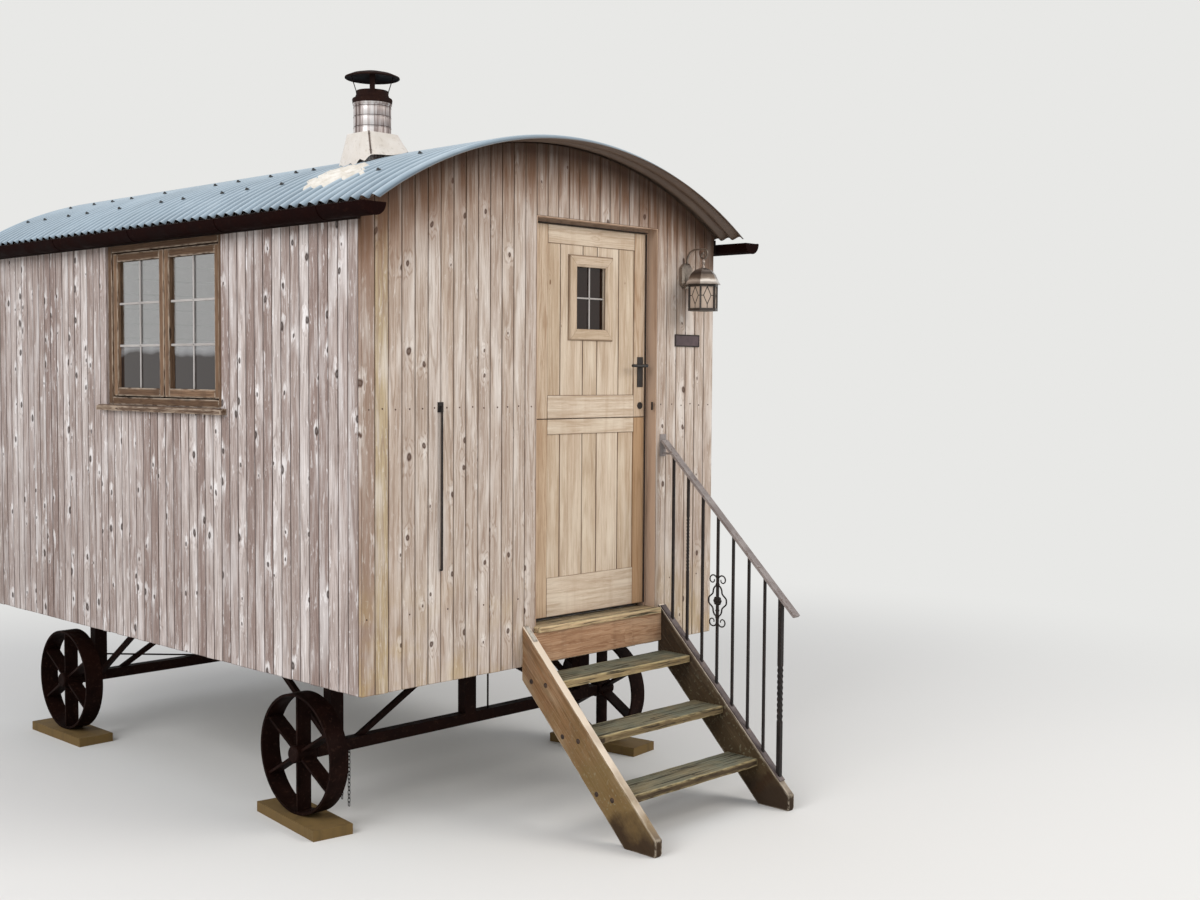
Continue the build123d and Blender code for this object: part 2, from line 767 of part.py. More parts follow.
for number in range(strap_count):
    angle = pi / strap_count + number * 2 * pi / strap_count
    x = flue_x + strap_circle * cos(angle)
    y = flue_y + strap_circle * sin(angle)
    cowl += bar_between((x, y, flue_mouth - strap_lap), (x, y, cowl_low + cap_thickness / 2),
                        strap_thickness, strap_width, side=(cos(angle), sin(angle), 0))
pieces["flue_cowl"] = cowl
roof_skin = roof_radius + corrugation_depth + sheet_thickness + fit_gap
base_side = 2 * flashing_half * flashing_spread
base = Plane(origin=(flue_x, flue_y, flashing_top - flashing_depth)) * Rectangle(base_side, base_side)
collar = Plane(origin=(flue_x, flue_y, flashing_top)) * Circle(flue_radius + flashing_collar)
skirt = loft([base, collar])
skirt -= under_arc(roof_skin, flue_y - base_side, flue_y + base_side)
skirt -= flue_place * Pos(0, 0, flashing_top) * Cylinder(flue_radius + fit_gap, 2 * flashing_depth)
pieces["flue_flashing"] = skirt

# Lantern: backplate with a scrolled neck, a six-sided cap with its finial, the cage and its glass
lamp_place = Pos(lantern_x, -lantern_reach, 0)
backplate_high = lantern_eave - backplate_below_eave + backplate_height
plate_middle_z = backplate_high - backplate_height / 2
backplate = Pos(lantern_x, -backplate_thickness / 2, plate_middle_z) * Box(
    backplate_width, backplate_thickness, backplate_height)
backplate = chamfer(backplate.edges().filter_by(Axis.Y), backplate_corner)
backplate = chamfer(backplate.faces().sort_by(Axis.Y)[0].edges(), backplate_bevel)
neck_front = backplate_thickness - backplate_bevel
scroll_low = lantern_tip
neck_top = scroll_low + 2 * scroll_bend
neck_plane = Plane(origin=(lantern_x, 0, 0), x_dir=(0, -1, 0), z_dir=(-1, 0, 0))
bend_end = neck_front + neck_bend
riser_line = Line((neck_front, backplate_high - backplate_corner), (neck_front, neck_top - neck_bend))
bend = CenterArc((bend_end, neck_top - neck_bend), neck_bend, 180, -90)
top_line = Line((bend_end, neck_top), (lantern_reach, neck_top))
over = CenterArc((lantern_reach, neck_top - scroll_bend), scroll_bend, 90, -180)
curl = CenterArc((lantern_reach, scroll_low + scroll_curl), scroll_curl, -90, -180)
neck_path = neck_plane * Wire([riser_line, bend, top_line, over, curl])
neck_start = Plane(origin=neck_path @ 0, x_dir=(1, 0, 0), z_dir=neck_path % 0)
neck_section = neck_start * Rectangle(neck_bar, neck_bar)
pieces["lantern_bracket"] = backplate + sweep(neck_section, path=neck_path)

cap_half = lantern_brim * cos(pi / 6)
cap_half_outline = [(cap_half, 0), (cap_half * 0.9, lantern_cap_height * 0.16),
                    (cap_half * 0.7, lantern_cap_height * 0.6), (cap_half * 0.48, lantern_cap_height * 0.85),
                    (cap_half * 0.12, lantern_cap_height)]
cap_outline = cap_half_outline + [(-across, up) for across, up in reversed(cap_half_outline)]
cap_plane = Plane(origin=(0, 0, lantern_eave), x_dir=(1, 0, 0), z_dir=(0, -1, 0))
cap_slab = extrude(cap_plane * make_face(Polyline(cap_outline, close=True)), 2 * lantern_brim, both=True)
lamp_cap = cap_slab & cap_slab.rotate(Axis.Z, 60) & cap_slab.rotate(Axis.Z, 120)
finial_top = finial_height - neck_bar / 2 - fit_gap
finial_outline = [(0, 0), (finial_radius, 0), (finial_radius * 0.5, finial_height * 0.3),
                  (finial_radius, finial_height * 0.6), (finial_radius * 0.6, finial_top), (0, finial_top)]
finial_face = Plane.XZ * make_face(Polyline(finial_outline, close=True))
finial = Pos(0, 0, lantern_crown) * revolve(finial_face, Axis.Z)
pieces["lantern_cap"] = lamp_place * (lamp_cap + finial)


def hexagon(radius, low, high):
    """A six-sided prism on the lantern's axis."""
    return lamp_place * Pos(0, 0, low) * extrude(RegularPolygon(radius, 6, rotation=30), high - low)


glass_radius = lantern_radius - lantern_post
glass_low = lantern_low + lantern_base_height
rim_low = lantern_eave - lantern_top_rim
cage = hexagon(lantern_radius, lantern_low, glass_low)
cage += hexagon(lantern_radius, rim_low, lantern_eave) - hexagon(glass_radius, rim_low, lantern_eave)
post = Box(lantern_post, lantern_post, lantern_body_height)
post_circle = lantern_radius - lantern_post / 2 * hypot(1, 1)
for number in range(6):
    place = Rot(0, 0, 30 + 60 * number) * Pos(post_circle, 0, lantern_low + lantern_body_height / 2)
    cage += lamp_place * place * post
pieces["lantern_cage"] = cage
glass = hexagon(glass_radius - fit_gap, glass_low + fit_gap, lantern_eave - fit_gap)
pieces["lantern_glass"] = glass - cage

# Blank plate, and the long cabin hook hanging from its staple
pieces["wall_plate"] = block(plate_x - plate_width / 2, plate_x + plate_width / 2, -plate_thickness, 0,
                             plate_middle - plate_height / 2, plate_middle + plate_height / 2)
hook_axis_y = -hook_rod - hook_clear
hook_end = hook_top - hook_length
staple = block(hook_x - staple_width / 2, hook_x + staple_width / 2, -staple_plate, 0,
               hook_top - staple_below, hook_top + staple_above)
staple += rod_between((hook_x, -staple_plate, hook_top), (hook_x, hook_axis_y, hook_top), hook_rod - 1)
hook = rod_between((hook_x, hook_axis_y, hook_top), (hook_x, hook_axis_y, hook_end), hook_rod)
hook += rod_between((hook_x, hook_axis_y, hook_end), (hook_x, -1, hook_end), hook_rod - 1)
pieces["cabin_hook"] = staple + hook

front_end = rail_reach + rail_thickness / 2 * sin(atan2(rail_slope, 1))
rear_end = body_length + gutter_overrun
centre_y = (rear_end - front_end) / 2
parts = {name: Pos(0, -centre_y, 0) * shape for name, shape in pieces.items()}
os.makedirs("parts", exist_ok=True)
for name, shape in parts.items():
    shape.label = name
    export_step(shape, "parts/" + name + ".step")
whole = Compound(children=list(parts.values())).bounding_box()
print("box", whole.min, whole.max, "centre_y", centre_y)
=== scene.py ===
# %% [markdown]
# # A shepherds hut on iron wheels
# The hut is a small timber room on a steel chassis, with an arched corrugated roof, a two-part door
# behind wooden steps, and wrought ironwork. Its solid model is loaded first and stays as it is. Each cell
# then dresses one piece of it: a surface worked out with numpy, a finish made of nodes, or both.

# %% Load the fixed model
from math import asin, cos, hypot, pi, radians, sin

import bpy
import numpy as np
from mathutils import Matrix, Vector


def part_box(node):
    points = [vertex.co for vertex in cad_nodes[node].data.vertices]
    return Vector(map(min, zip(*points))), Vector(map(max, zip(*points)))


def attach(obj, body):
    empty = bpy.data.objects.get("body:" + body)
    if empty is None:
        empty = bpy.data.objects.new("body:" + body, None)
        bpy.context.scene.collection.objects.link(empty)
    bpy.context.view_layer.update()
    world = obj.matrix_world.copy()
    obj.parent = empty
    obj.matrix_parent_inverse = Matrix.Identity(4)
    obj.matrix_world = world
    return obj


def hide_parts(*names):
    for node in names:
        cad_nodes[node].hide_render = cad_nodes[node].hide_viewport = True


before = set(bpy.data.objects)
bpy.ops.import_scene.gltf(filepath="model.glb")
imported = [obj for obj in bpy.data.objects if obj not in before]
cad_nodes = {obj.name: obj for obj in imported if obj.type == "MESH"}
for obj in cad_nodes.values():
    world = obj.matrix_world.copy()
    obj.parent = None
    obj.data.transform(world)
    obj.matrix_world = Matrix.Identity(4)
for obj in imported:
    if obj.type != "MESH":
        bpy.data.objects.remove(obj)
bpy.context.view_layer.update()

# %% [markdown]
# Everything is measured in millimetres in the hut's own directions: x across from the centre line, y from
# the front wall to the rear, z up from the ground. One shift and a scale turn them into the model's metres.

# %% Sizes read from the model
front_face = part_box("left_wall")[0].y * 1000
half_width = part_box("right_wall")[1].x * 1000
hut_length = (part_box("left_wall")[1].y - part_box("left_wall")[0].y) * 1000
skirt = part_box("left_wall")[0].z * 1000
sheet, wave_deep, pitches = 3.0, 19.0, 53
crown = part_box("roof_sheet")[1].z * 1000 - (sheet + wave_deep)
roof_radius, roof_gap = 2190, 0.3
arch_centre = crown - roof_radius
verge, eave_reach = 179, 34
rng = np.random.default_rng(11)
print("half width", half_width, "length", hut_length, "skirt", skirt, "arch centre", arch_centre)


def node_box(name):
    """Lowest and highest corner of a node in the hut's millimetres."""
    lo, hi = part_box(name)
    return [np.array(c) * 1000 - (0, front_face, 0) for c in (lo, hi)]


def under_roof(x):
    """Height of a wall's top at x: centre + sqrt((radius - gap)^2 - x^2)."""
    return arch_centre + np.sqrt((roof_radius - roof_gap) ** 2 - np.asarray(x, float) ** 2)

# %% [markdown]
# A piece is often many parts, such as the boards of a wall. Each part is a bundle of points and faces with
# two notes for the finish: where each point lies in the wood (across, along, into the board) and a tone from
# 0 to 1 for the whole board. One function joins the parts into a mesh and gives it to its body.

# %% Join parts into a piece
def part(points, faces, grain=None, tone=0.5, wear_and_shade=None):
    """A bundle: points (n, 3) in millimetres, faces as arrays of point numbers, grain, tone, and a wear
    value that some finishes also use for painted shade.
    """
    points = np.asarray(points, float)
    grain = points if grain is None else np.asarray(grain, float)
    wear_and_shade = np.zeros(len(points)) if wear_and_shade is None else np.asarray(wear_and_shade, float)
    return {"points": points, "faces": [np.asarray(f) for f in faces], "grain": grain,
            "tone": np.broadcast_to(np.asarray(tone, float), (len(points),)), "wear_and_shade": wear_and_shade}


def piece(name, parts, finish, body="hut", stands_for=(), crease=35):
    """Joins the parts: all points in one array, each part's faces moved on by the points before it."""
    starts = np.cumsum([0] + [len(p["points"]) for p in parts])
    points = np.concatenate([p["points"] for p in parts])
    rows = [f + start for p, start in zip(parts, starts) for f in p["faces"]]
    corners = np.concatenate([r.ravel() for r in rows]).astype(np.int32)
    sizes = np.concatenate([np.full(len(r), r.shape[1]) for r in rows])
    mesh = bpy.data.meshes.new(name)
    mesh.vertices.add(len(points))
    mesh.vertices.foreach_set("co", ((points + (0, front_face, 0)) / 1000).astype(np.float32).ravel())
    mesh.loops.add(len(corners))
    mesh.loops.foreach_set("vertex_index", corners)
    mesh.polygons.add(len(sizes))
    mesh.polygons.foreach_set("loop_start", np.concatenate([[0], np.cumsum(sizes)[:-1]]).astype(np.int32))
    mesh.update(calc_edges=True)
    mesh.validate()
    for key, kind, field in (("grain", "FLOAT_VECTOR", "vector"), ("tone", "FLOAT", "value"),
                             ("wear_and_shade", "FLOAT", "value")):
        values = np.concatenate([p[key] for p in parts]).astype(np.float32)
        mesh.attributes.new(key, kind, "POINT").data.foreach_set(field, values.ravel())
    mesh.shade_smooth()
    mesh.set_sharp_from_angle(angle=radians(crease))
    mesh.materials.append(finish)
    made = bpy.data.objects.new(name, mesh)
    bpy.context.scene.collection.objects.link(made)
    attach(made, body)
    if stands_for:
        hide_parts(*stands_for)
    return made

# %% [markdown]
# Sawn and planed timber never has a knife edge: corners are worn round. The block is a box's grid of points,
# each pulled to the inner box and pushed out again by the radius, so flat faces stay flat and edges roll.

# %% A block of timber with softened edges
widest_round, widest_band = 0.45, 0.47
long_wave, short_wave = (61, 40), (23, 17)


def cuts(length, radius, band, pieces):
    """Grid lines along one side: the edge, the end of the rounding, the end of the worn band, and more."""
    radius = min(radius, length * widest_round)
    band = min(max(band, radius * 1.2), length * widest_band)
    middle = np.linspace(band, length - band, pieces + 1)
    return np.unique(np.concatenate([[0, radius], middle, [length - radius, length]]))


def timber(size, place, across=(1, 0, 0), deep=(0, 1, 0), along=(0, 0, 1), radius=2.0, band=9.0,
           pieces=(1, 1, 1), tone=None, top=None, foot=None, lines_along=(), reshape=None, rough_cut=0.0):
    """inner = nearest point of the box shrunk by the radius; point = inner + radius * direction to the grid
    point. across, deep and along are the hut directions of the block's three sides; the grain runs along.
    reshape bends the block's own points, and rough_cut adds slow waves of that many millimetres."""
    size = np.asarray(size, float)
    lines = [cuts(size[k], radius, band, pieces[k]) for k in range(3)]
    lines[2] = np.unique(np.concatenate([lines[2], np.asarray(lines_along, float)]))
    patches, quads, count = [], [], 0
    for k in range(3):
        a, b = [lines[j] for j in range(3) if j != k]
        ga, gb = np.meshgrid(a, b, indexing="ij")
        number = np.arange(ga.size).reshape(ga.shape)
        quad = np.stack([number[:-1, :-1], number[1:, :-1], number[1:, 1:], number[:-1, 1:]], -1)
        quad = quad.reshape(-1, 4)
        for end in (0, 1):
            block = np.zeros((ga.size, 3))
            block[:, [j for j in range(3) if j != k]] = np.stack([ga.ravel(), gb.ravel()], -1)
            block[:, k] = size[k] * end
            patches.append(block)
            outward = (end == 1) != (k == 1)
            quads.append((quad if outward else quad[:, ::-1]) + count)
            count += ga.size
    grid, joined = np.unique(np.round(np.concatenate(patches), 5), axis=0, return_inverse=True)
    faces = joined.ravel()[np.concatenate(quads)]
    r = np.minimum(radius, size * widest_round)
    inner = np.clip(grid, r, size - r)
    push = (grid - inner) / r
    far = np.maximum(np.linalg.norm(push, axis=1, keepdims=True), 1e-9)
    edge = (np.abs(push) > 0.5).sum(1) >= 2
    local = np.where(edge[:, None], inner + push / far * r, grid)
    near = np.sort(np.minimum(grid, size - grid) / max(band, 0.01), axis=1)[:, 1]
    wear_and_shade = np.clip(1 - near, 0, 1)
    if rough_cut:
        phase = rng.uniform(0, 6, 6)
        for axis, other in ((0, 1), (1, 0)):
            wave = np.sin(local[:, 2] / long_wave[0] + local[:, other] / long_wave[1] + phase[axis])
            wave += 0.6 * np.sin(local[:, 2] / short_wave[0] + phase[2 + axis]
                                 + local[:, other] / short_wave[1])
            middle = (local[:, axis] > size[axis] / 2) * 2.0 - 1
            local[:, axis] -= middle * rough_cut * (0.5 + 0.31 * wave) * (near < 1.5)
    if reshape is not None:
        local = reshape(local)
    turn = np.array([across, deep, along], float)
    points = local @ turn + np.asarray(place, float)
    if top is not None:
        share = (points[:, 2] - place[2]) / size[2]
        points[:, 2] += share * (top(points) - (place[2] + size[2]))
    if foot is not None:
        low = local[:, 2] < size[2] / 2
        points[low, 2] += foot(points[low])
    if np.linalg.det(turn) < 0:
        faces = faces[:, ::-1]
    shift = rng.uniform(0, 900, 3) * (1, 6, 0.3)
    tone = rng.uniform(0, 1) if tone is None else tone
    return part(points, [faces], local[:, [0, 2, 1]] + shift, tone, wear_and_shade)

# %% [markdown]
# Round bars, mouldings and the gutters are a profile carried along a path. The carrier keeps its frame
# level, so a profile drawn as across and up stays upright, and closes both ends with a cap.

# %% Carry a profile along a path
def grid_faces(rows, columns, closed=True):
    """Quads of a grid of rows by columns; closed joins the last column to the first."""
    number = np.arange(rows * columns).reshape(rows, columns)
    if closed:
        number = np.concatenate([number, number[:, :1]], 1)
    return np.stack([number[:-1, :-1], number[:-1, 1:], number[1:, 1:], number[1:, :-1]], -1).reshape(-1, 4)


def closing_quads(rows, count):
    """Quads from the last row of a grid back to its first."""
    ring, last = np.arange(count), (rows - 1) * count
    return np.stack([last + ring, last + np.roll(ring, -1), np.roll(ring, -1), ring], -1)


def carried(profile, path, up=(0, 0, 1), scale=None, turn=None, loop=False):
    """point = path + profile's first number * side + second * rise; side = ahead x up, rise = side x ahead.
    scale gives a size factor per station and turn an angle, for tapers and twists."""
    path, profile = np.asarray(path, float), np.asarray(profile, float)
    if loop:
        ahead = np.roll(path, -1, 0) - np.roll(path, 1, 0)
    else:
        ahead = np.gradient(path, axis=0)
    ahead /= np.linalg.norm(ahead, axis=1, keepdims=True)
    side = np.cross(ahead, np.broadcast_to(np.asarray(up, float), ahead.shape))
    side /= np.maximum(np.linalg.norm(side, axis=1, keepdims=True), 1e-9)
    rise = np.cross(side, ahead)
    flat = np.broadcast_to(profile, (len(path),) + profile.shape).copy()
    if turn is not None:
        c, s = np.cos(turn)[:, None], np.sin(turn)[:, None]
        flat = np.stack([flat[..., 0] * c - flat[..., 1] * s, flat[..., 0] * s + flat[..., 1] * c], -1)
    if scale is not None:
        flat = flat * np.asarray(scale, float)[:, None, None]
    points = path[:, None] + flat[..., :1] * side[:, None] + flat[..., 1:] * rise[:, None]
    run = np.concatenate([[0], np.cumsum(np.linalg.norm(np.diff(path, axis=0), axis=1))])
    length = np.broadcast_to(run[:, None, None], flat.shape[:2] + (1,))
    grain = np.concatenate([flat[..., :1], length, flat[..., 1:]], -1)
    count = len(profile)
    quads = grid_faces(len(path), count)
    last = (len(path) - 1) * count
    if loop:
        faces = [np.concatenate([quads, closing_quads(len(path), count)])]
    else:
        faces = [quads, np.arange(count)[None, ::-1], (np.arange(count) + last)[None]]
    area = np.sum(profile[:, 0] * np.roll(profile[:, 1], -1) - profile[:, 1] * np.roll(profile[:, 0], -1))
    if area > 0:
        faces = [f[:, ::-1] for f in faces]
    return part(points.reshape(-1, 3), faces, grain.reshape(-1, 3) + rng.uniform(0, 500, 3))


def circle(radius, count):
    """Points at radius times (cosine, sine) of evenly spaced angles."""
    angle = np.linspace(0, 2 * pi, count, endpoint=False)
    return radius * np.stack([np.cos(angle), np.sin(angle)], -1)

# %% [markdown]
# Finishes are built of shader nodes. Colours are written as they look on a screen and turned into the linear
# light that the renderer mixes. One small function adds a node, sets its choices and links its inputs.

# %% Colour and node helpers
def linear(code):
    """sRGB hex to linear RGBA: value / 12.92 below 0.04045, else ((value + 0.055) / 1.055) ** 2.4."""
    value = np.array([int(code[k:k + 2], 16) for k in (1, 3, 5)]) / 255
    light = np.where(value <= 0.04045, value / 12.92, ((value + 0.055) / 1.055) ** 2.4)
    return (*[float(v) for v in light], 1.0)


def add(material, kind, feeds=None, out=None, stops=None, **settings):
    """Adds one node. settings are its choices, feeds its inputs as values or outputs to link, and stops a
    ramp's places and colours. Gives back the output named out, or the first one in use."""
    node = material.node_tree.nodes.new("ShaderNode" + kind)
    for setting, value in settings.items():
        setattr(node, setting, value)
    for stop, (place, colour) in enumerate(stops or ()):
        elements = node.color_ramp.elements
        element = elements[stop] if stop < 2 else elements.new(place)
        element.position = place
        element.color = linear(colour) if isinstance(colour, str) else (colour, colour, colour, 1)
    for key, value in (feeds or {}).items():
        named = isinstance(key, str)
        socket = next(s for s in node.inputs if s.enabled and s.name == key) if named else node.inputs[key]
        if isinstance(value, bpy.types.NodeSocket):
            material.node_tree.links.new(value, socket)
        else:
            socket.default_value = linear(value) if isinstance(value, str) else value
    if out is not None:
        return node.outputs[out]
    return next((s for s in node.outputs if s.enabled), None)


def bare(name):
    """A new material with an empty node tree."""
    material = bpy.data.materials.new(name)
    material.use_nodes = True
    material.node_tree.nodes.clear()
    return material

# %% [markdown]
# Timber left outdoors turns grey where sun and rain reach it. Its look has layers: a colour for each board,
# fine fibres, the wavy lines of the growth rings, dark knots that the rings flow round, streaks that rain
# leaves, and paler corners where hands and weather rub. One recipe serves every timber with other numbers.

# %% Timber finish
rings_round_knot, ring_turns = 0.26, 46.0


def knot_cells(m, place, cell, knot_chance, shift=(0, 0, 0)):
    """Cells of the given size, each with a middle. Gives the distance from the middle, the cell's own chance
    and whether that chance is low enough for a knot."""
    place = add(m, "Mapping", {"Vector": place, "Location": shift, "Scale": (1 / cell[0], 1 / cell[1], 1)})
    spot = add(m, "TexVoronoi", {"Vector": place, "Scale": 1.0, "Randomness": 0.85}, out="Distance",
               voronoi_dimensions="2D")
    chance = add(m, "SeparateColor", {"Color": spot.node.outputs["Color"]}, out="Red")
    chosen = add(m, "Math", {0: chance, 1: knot_chance}, operation="LESS_THAN")
    return spot, chance, chosen


def timber_finish(name, boards, ring, knot, ring_share=0.5, ring_size=38, fibre_share=0.5, cell=(75, 260),
                  knot_chance=0.5, knot_size=0.1, halo=0.0, pale=None, fleck=0.0, cloud_share=0.35,
                  streak="#6E5E52", streak_share=0.3, joint=None, joint_share=0.7, worn=None, worn_share=0.0,
                  relief=0.6, shine=0.25, extra=None):
    """Board colour by tone, then clouds, rings, fibres, a pale blaze above each knot, rain streaks, knots,
    joints and worn edges. Each pattern's place is the wood's place in millimetres divided by its size. The
    place is first shifted by a slow noise, so that no line in the wood is straight."""
    m = bare(name)
    at = add(m, "Attribute", attribute_name="grain", out="Vector")
    tone = add(m, "Attribute", attribute_name="tone", out="Fac")
    edge = add(m, "Attribute", attribute_name="wear_and_shade", out="Fac")
    steps = max(len(boards) - 1, 1)
    colour = add(m, "ValToRGB", {"Fac": tone}, stops=[(k / steps, c) for k, c in enumerate(boards)])
    slow = add(m, "Mapping", {"Vector": at, "Scale": (1 / 30, 1 / 110, 1 / 30)})
    slow = add(m, "TexNoise", {"Vector": slow, "Scale": 1.0, "Detail": 2.0}, out="Color")
    slow = add(m, "VectorMath", {0: slow, 1: (0.5, 0.5, 0.5)}, operation="SUBTRACT")
    slow = add(m, "VectorMath", {0: slow, 1: (14, 26, 6), 2: at}, operation="MULTIPLY_ADD")
    spot, chance, chosen = knot_cells(m, slow, cell, knot_chance)
    bigger = add(m, "MapRange", {"Value": chance, "From Max": max(knot_chance, 0.01), "To Min": 0.45,
                                 "To Max": 1.45})
    near = add(m, "Math", {0: spot, 1: bigger}, operation="DIVIDE")
    knotty = add(m, "MapRange", {"Value": near, "From Min": knot_size * 0.6, "From Max": knot_size,
                                 "To Min": 1.0, "To Max": 0.0})
    knotty = add(m, "Math", {0: knotty, 1: chosen}, operation="MULTIPLY")
    heart = add(m, "MapRange", {"Value": near, "From Min": knot_size * 0.2, "From Max": knot_size * 0.65,
                                "To Min": 0.78})
    swirl = add(m, "MapRange", {"Value": near, "From Min": 0.0, "From Max": knot_size * 5, "To Min": 1.0,
                                "To Max": 0.0}, interpolation_type="SMOOTHERSTEP")
    swirl = add(m, "Math", {0: swirl, 1: chosen}, operation="MULTIPLY")
    year = add(m, "Mapping", {"Vector": slow, "Scale": (1 / ring_size, 1 / (ring_size * 24), 1 / ring_size)})
    year = add(m, "TexNoise", {"Vector": year, "Scale": 1.0, "Detail": 1.0, "Roughness": 0.4})
    year = add(m, "Math", {0: swirl, 1: rings_round_knot, 2: year}, operation="MULTIPLY_ADD")
    year = add(m, "Math", {0: year, 1: ring_turns}, operation="MULTIPLY")
    year = add(m, "Math", {0: year}, operation="SINE")
    year = add(m, "MapRange", {"Value": year, "To Max": ring_share})
    fibre = add(m, "Mapping", {"Vector": slow, "Scale": (1 / 7, 1 / 260, 1 / 7)})
    fibre = add(m, "TexNoise", {"Vector": fibre, "Scale": 1.0, "Detail": 6.0, "Roughness": 0.78})
    dark = add(m, "MapRange", {"Value": fibre, "From Min": 0.52, "From Max": 0.62, "To Max": fibre_share})
    cloud = add(m, "Mapping", {"Vector": slow, "Scale": (1 / 55, 1 / 420, 1 / 55)})
    cloud = add(m, "TexNoise", {"Vector": cloud, "Scale": 1.0, "Detail": 3.0})
    dim = add(m, "MapRange", {"Value": cloud, "From Min": 0.5, "From Max": 0.7, "To Max": cloud_share})
    colour = add(m, "Mix", {"Factor": dim, "A": colour, "B": ring}, data_type="RGBA")
    colour = add(m, "Mix", {"Factor": year, "A": colour, "B": ring}, data_type="RGBA")
    colour = add(m, "Mix", {"Factor": dark, "A": colour, "B": ring}, data_type="RGBA")
    if halo:
        above, _, lit = knot_cells(m, slow, cell, knot_chance, (0.03, -1.3 * knot_size, 0))
        blaze = add(m, "MapRange", {"Value": above, "From Min": knot_size * 1.9, "From Max": knot_size * 0.7,
                                    "To Max": halo})
        broken = add(m, "MapRange", {"Value": fibre, "From Min": 0.58, "From Max": 0.46})
        broken = add(m, "Math", {0: lit, 1: broken}, operation="MULTIPLY")
        blaze = add(m, "Math", {0: blaze, 1: broken}, operation="MULTIPLY")
        colour = add(m, "Mix", {"Factor": blaze, "A": colour, "B": pale}, data_type="RGBA")
    if pale is not None:
        light = add(m, "MapRange", {"Value": cloud, "From Min": 0.48, "From Max": 0.3,
                                    "To Max": cloud_share * 1.6})
        colour = add(m, "Mix", {"Factor": light, "A": colour, "B": pale}, data_type="RGBA")
        bright = add(m, "MapRange", {"Value": fibre, "From Min": 0.46, "From Max": 0.37, "To Max": 0.5})
        colour = add(m, "Mix", {"Factor": bright, "A": colour, "B": pale}, data_type="RGBA")
        flecks = add(m, "Mapping", {"Vector": slow, "Scale": (1 / 18, 1 / 130, 1)})
        flecks = add(m, "TexNoise", {"Vector": flecks, "Scale": 1.0, "Detail": 3.0})
        flecks = add(m, "Math", {0: swirl, 1: 0.2, 2: flecks}, operation="MULTIPLY_ADD")
        flecks = add(m, "MapRange", {"Value": flecks, "From Min": 0.62, "From Max": 0.72, "To Max": fleck})
        colour = add(m, "Mix", {"Factor": flecks, "A": colour, "B": pale}, data_type="RGBA")
    place = add(m, "TexCoord", out="Object")
    rain = add(m, "Mapping", {"Vector": place, "Scale": (14, 14, 1.3)})
    rain = add(m, "TexNoise", {"Vector": rain, "Scale": 1.0, "Detail": 4.0, "Roughness": 0.6})
    rain = add(m, "MapRange", {"Value": rain, "From Min": 0.5, "From Max": 0.72, "To Max": streak_share})
    colour = add(m, "Mix", {"Factor": rain, "A": colour, "B": streak}, data_type="RGBA")
    if extra is not None:
        colour = extra(m, colour, place, slow, fibre)
    knot_share = add(m, "Math", {0: knotty, 1: heart}, operation="MULTIPLY")
    colour = add(m, "Mix", {"Factor": knot_share, "A": colour, "B": knot}, data_type="RGBA")
    if joint is not None:
        seam = add(m, "MapRange", {"Value": edge, "From Min": 0.35, "To Max": joint_share})
        patchy = add(m, "MapRange", {"Value": cloud, "From Min": 0.35, "From Max": 0.6, "To Min": 0.5})
        seam = add(m, "Math", {0: seam, 1: patchy}, operation="MULTIPLY")
        colour = add(m, "Mix", {"Factor": seam, "A": colour, "B": joint}, data_type="RGBA")
    if worn is not None:
        rub = add(m, "Mapping", {"Vector": at, "Scale": (1 / 9, 1 / 60, 1 / 9)})
        rub = add(m, "TexNoise", {"Vector": rub, "Scale": 1.0, "Detail": 3.0})
        rub = add(m, "MapRange", {"Value": rub, "From Min": 0.36, "From Max": 0.58, "To Max": worn_share})
        rub = add(m, "Math", {0: rub, 1: edge}, operation="MULTIPLY")
        colour = add(m, "Mix", {"Factor": rub, "A": colour, "B": worn}, data_type="RGBA")
    height = add(m, "Math", {0: year, 1: -0.6, 2: fibre}, operation="MULTIPLY_ADD")
    height = add(m, "Math", {0: height, 1: knotty}, operation="SUBTRACT")
    bump = add(m, "Bump", {"Height": height, "Strength": relief, "Distance": 0.0015})
    matt = add(m, "MapRange", {"Value": fibre, "From Min": 0.3, "From Max": 0.7, "To Min": 0.7,
                               "To Max": 0.92})
    shader = add(m, "BsdfPrincipled", {"Base Color": colour, "Roughness": matt, "Normal": bump,
                                       "Specular IOR Level": shine})
    add(m, "OutputMaterial", {"Surface": shader})
    return m

# %% [markdown]
# The walls are softwood boards that have silvered. The side, out of the sun, is a pinkish grey with small
# black knots and white flecks; this colour set is painted shade, the front's warmer one painted sunlight.
# Behind them a dark membrane shows only in the joints.

# %% Side cladding finish
# painted shade: the pinkish grey colour set of the side and rear boards stands in for the shade on them
shaded_side_boards = timber_finish(
    "silvered_larch_side_boards_in_painted_shade", ["#8E7B73", "#A09088", "#AC9D96", "#B4A59E", "#BCAFA8", "#C8BDB7"],
    ring="#75625A", knot="#35261F", knot_chance=0.33, knot_size=0.125, cell=(95, 150), halo=0.62, fleck=0.62,
    ring_share=0.5, fibre_share=0.45, cloud_share=0.27, pale="#EAE5E2", streak="#7A6860", streak_share=0.35,
    joint="#3A2C26", joint_share=1.0)

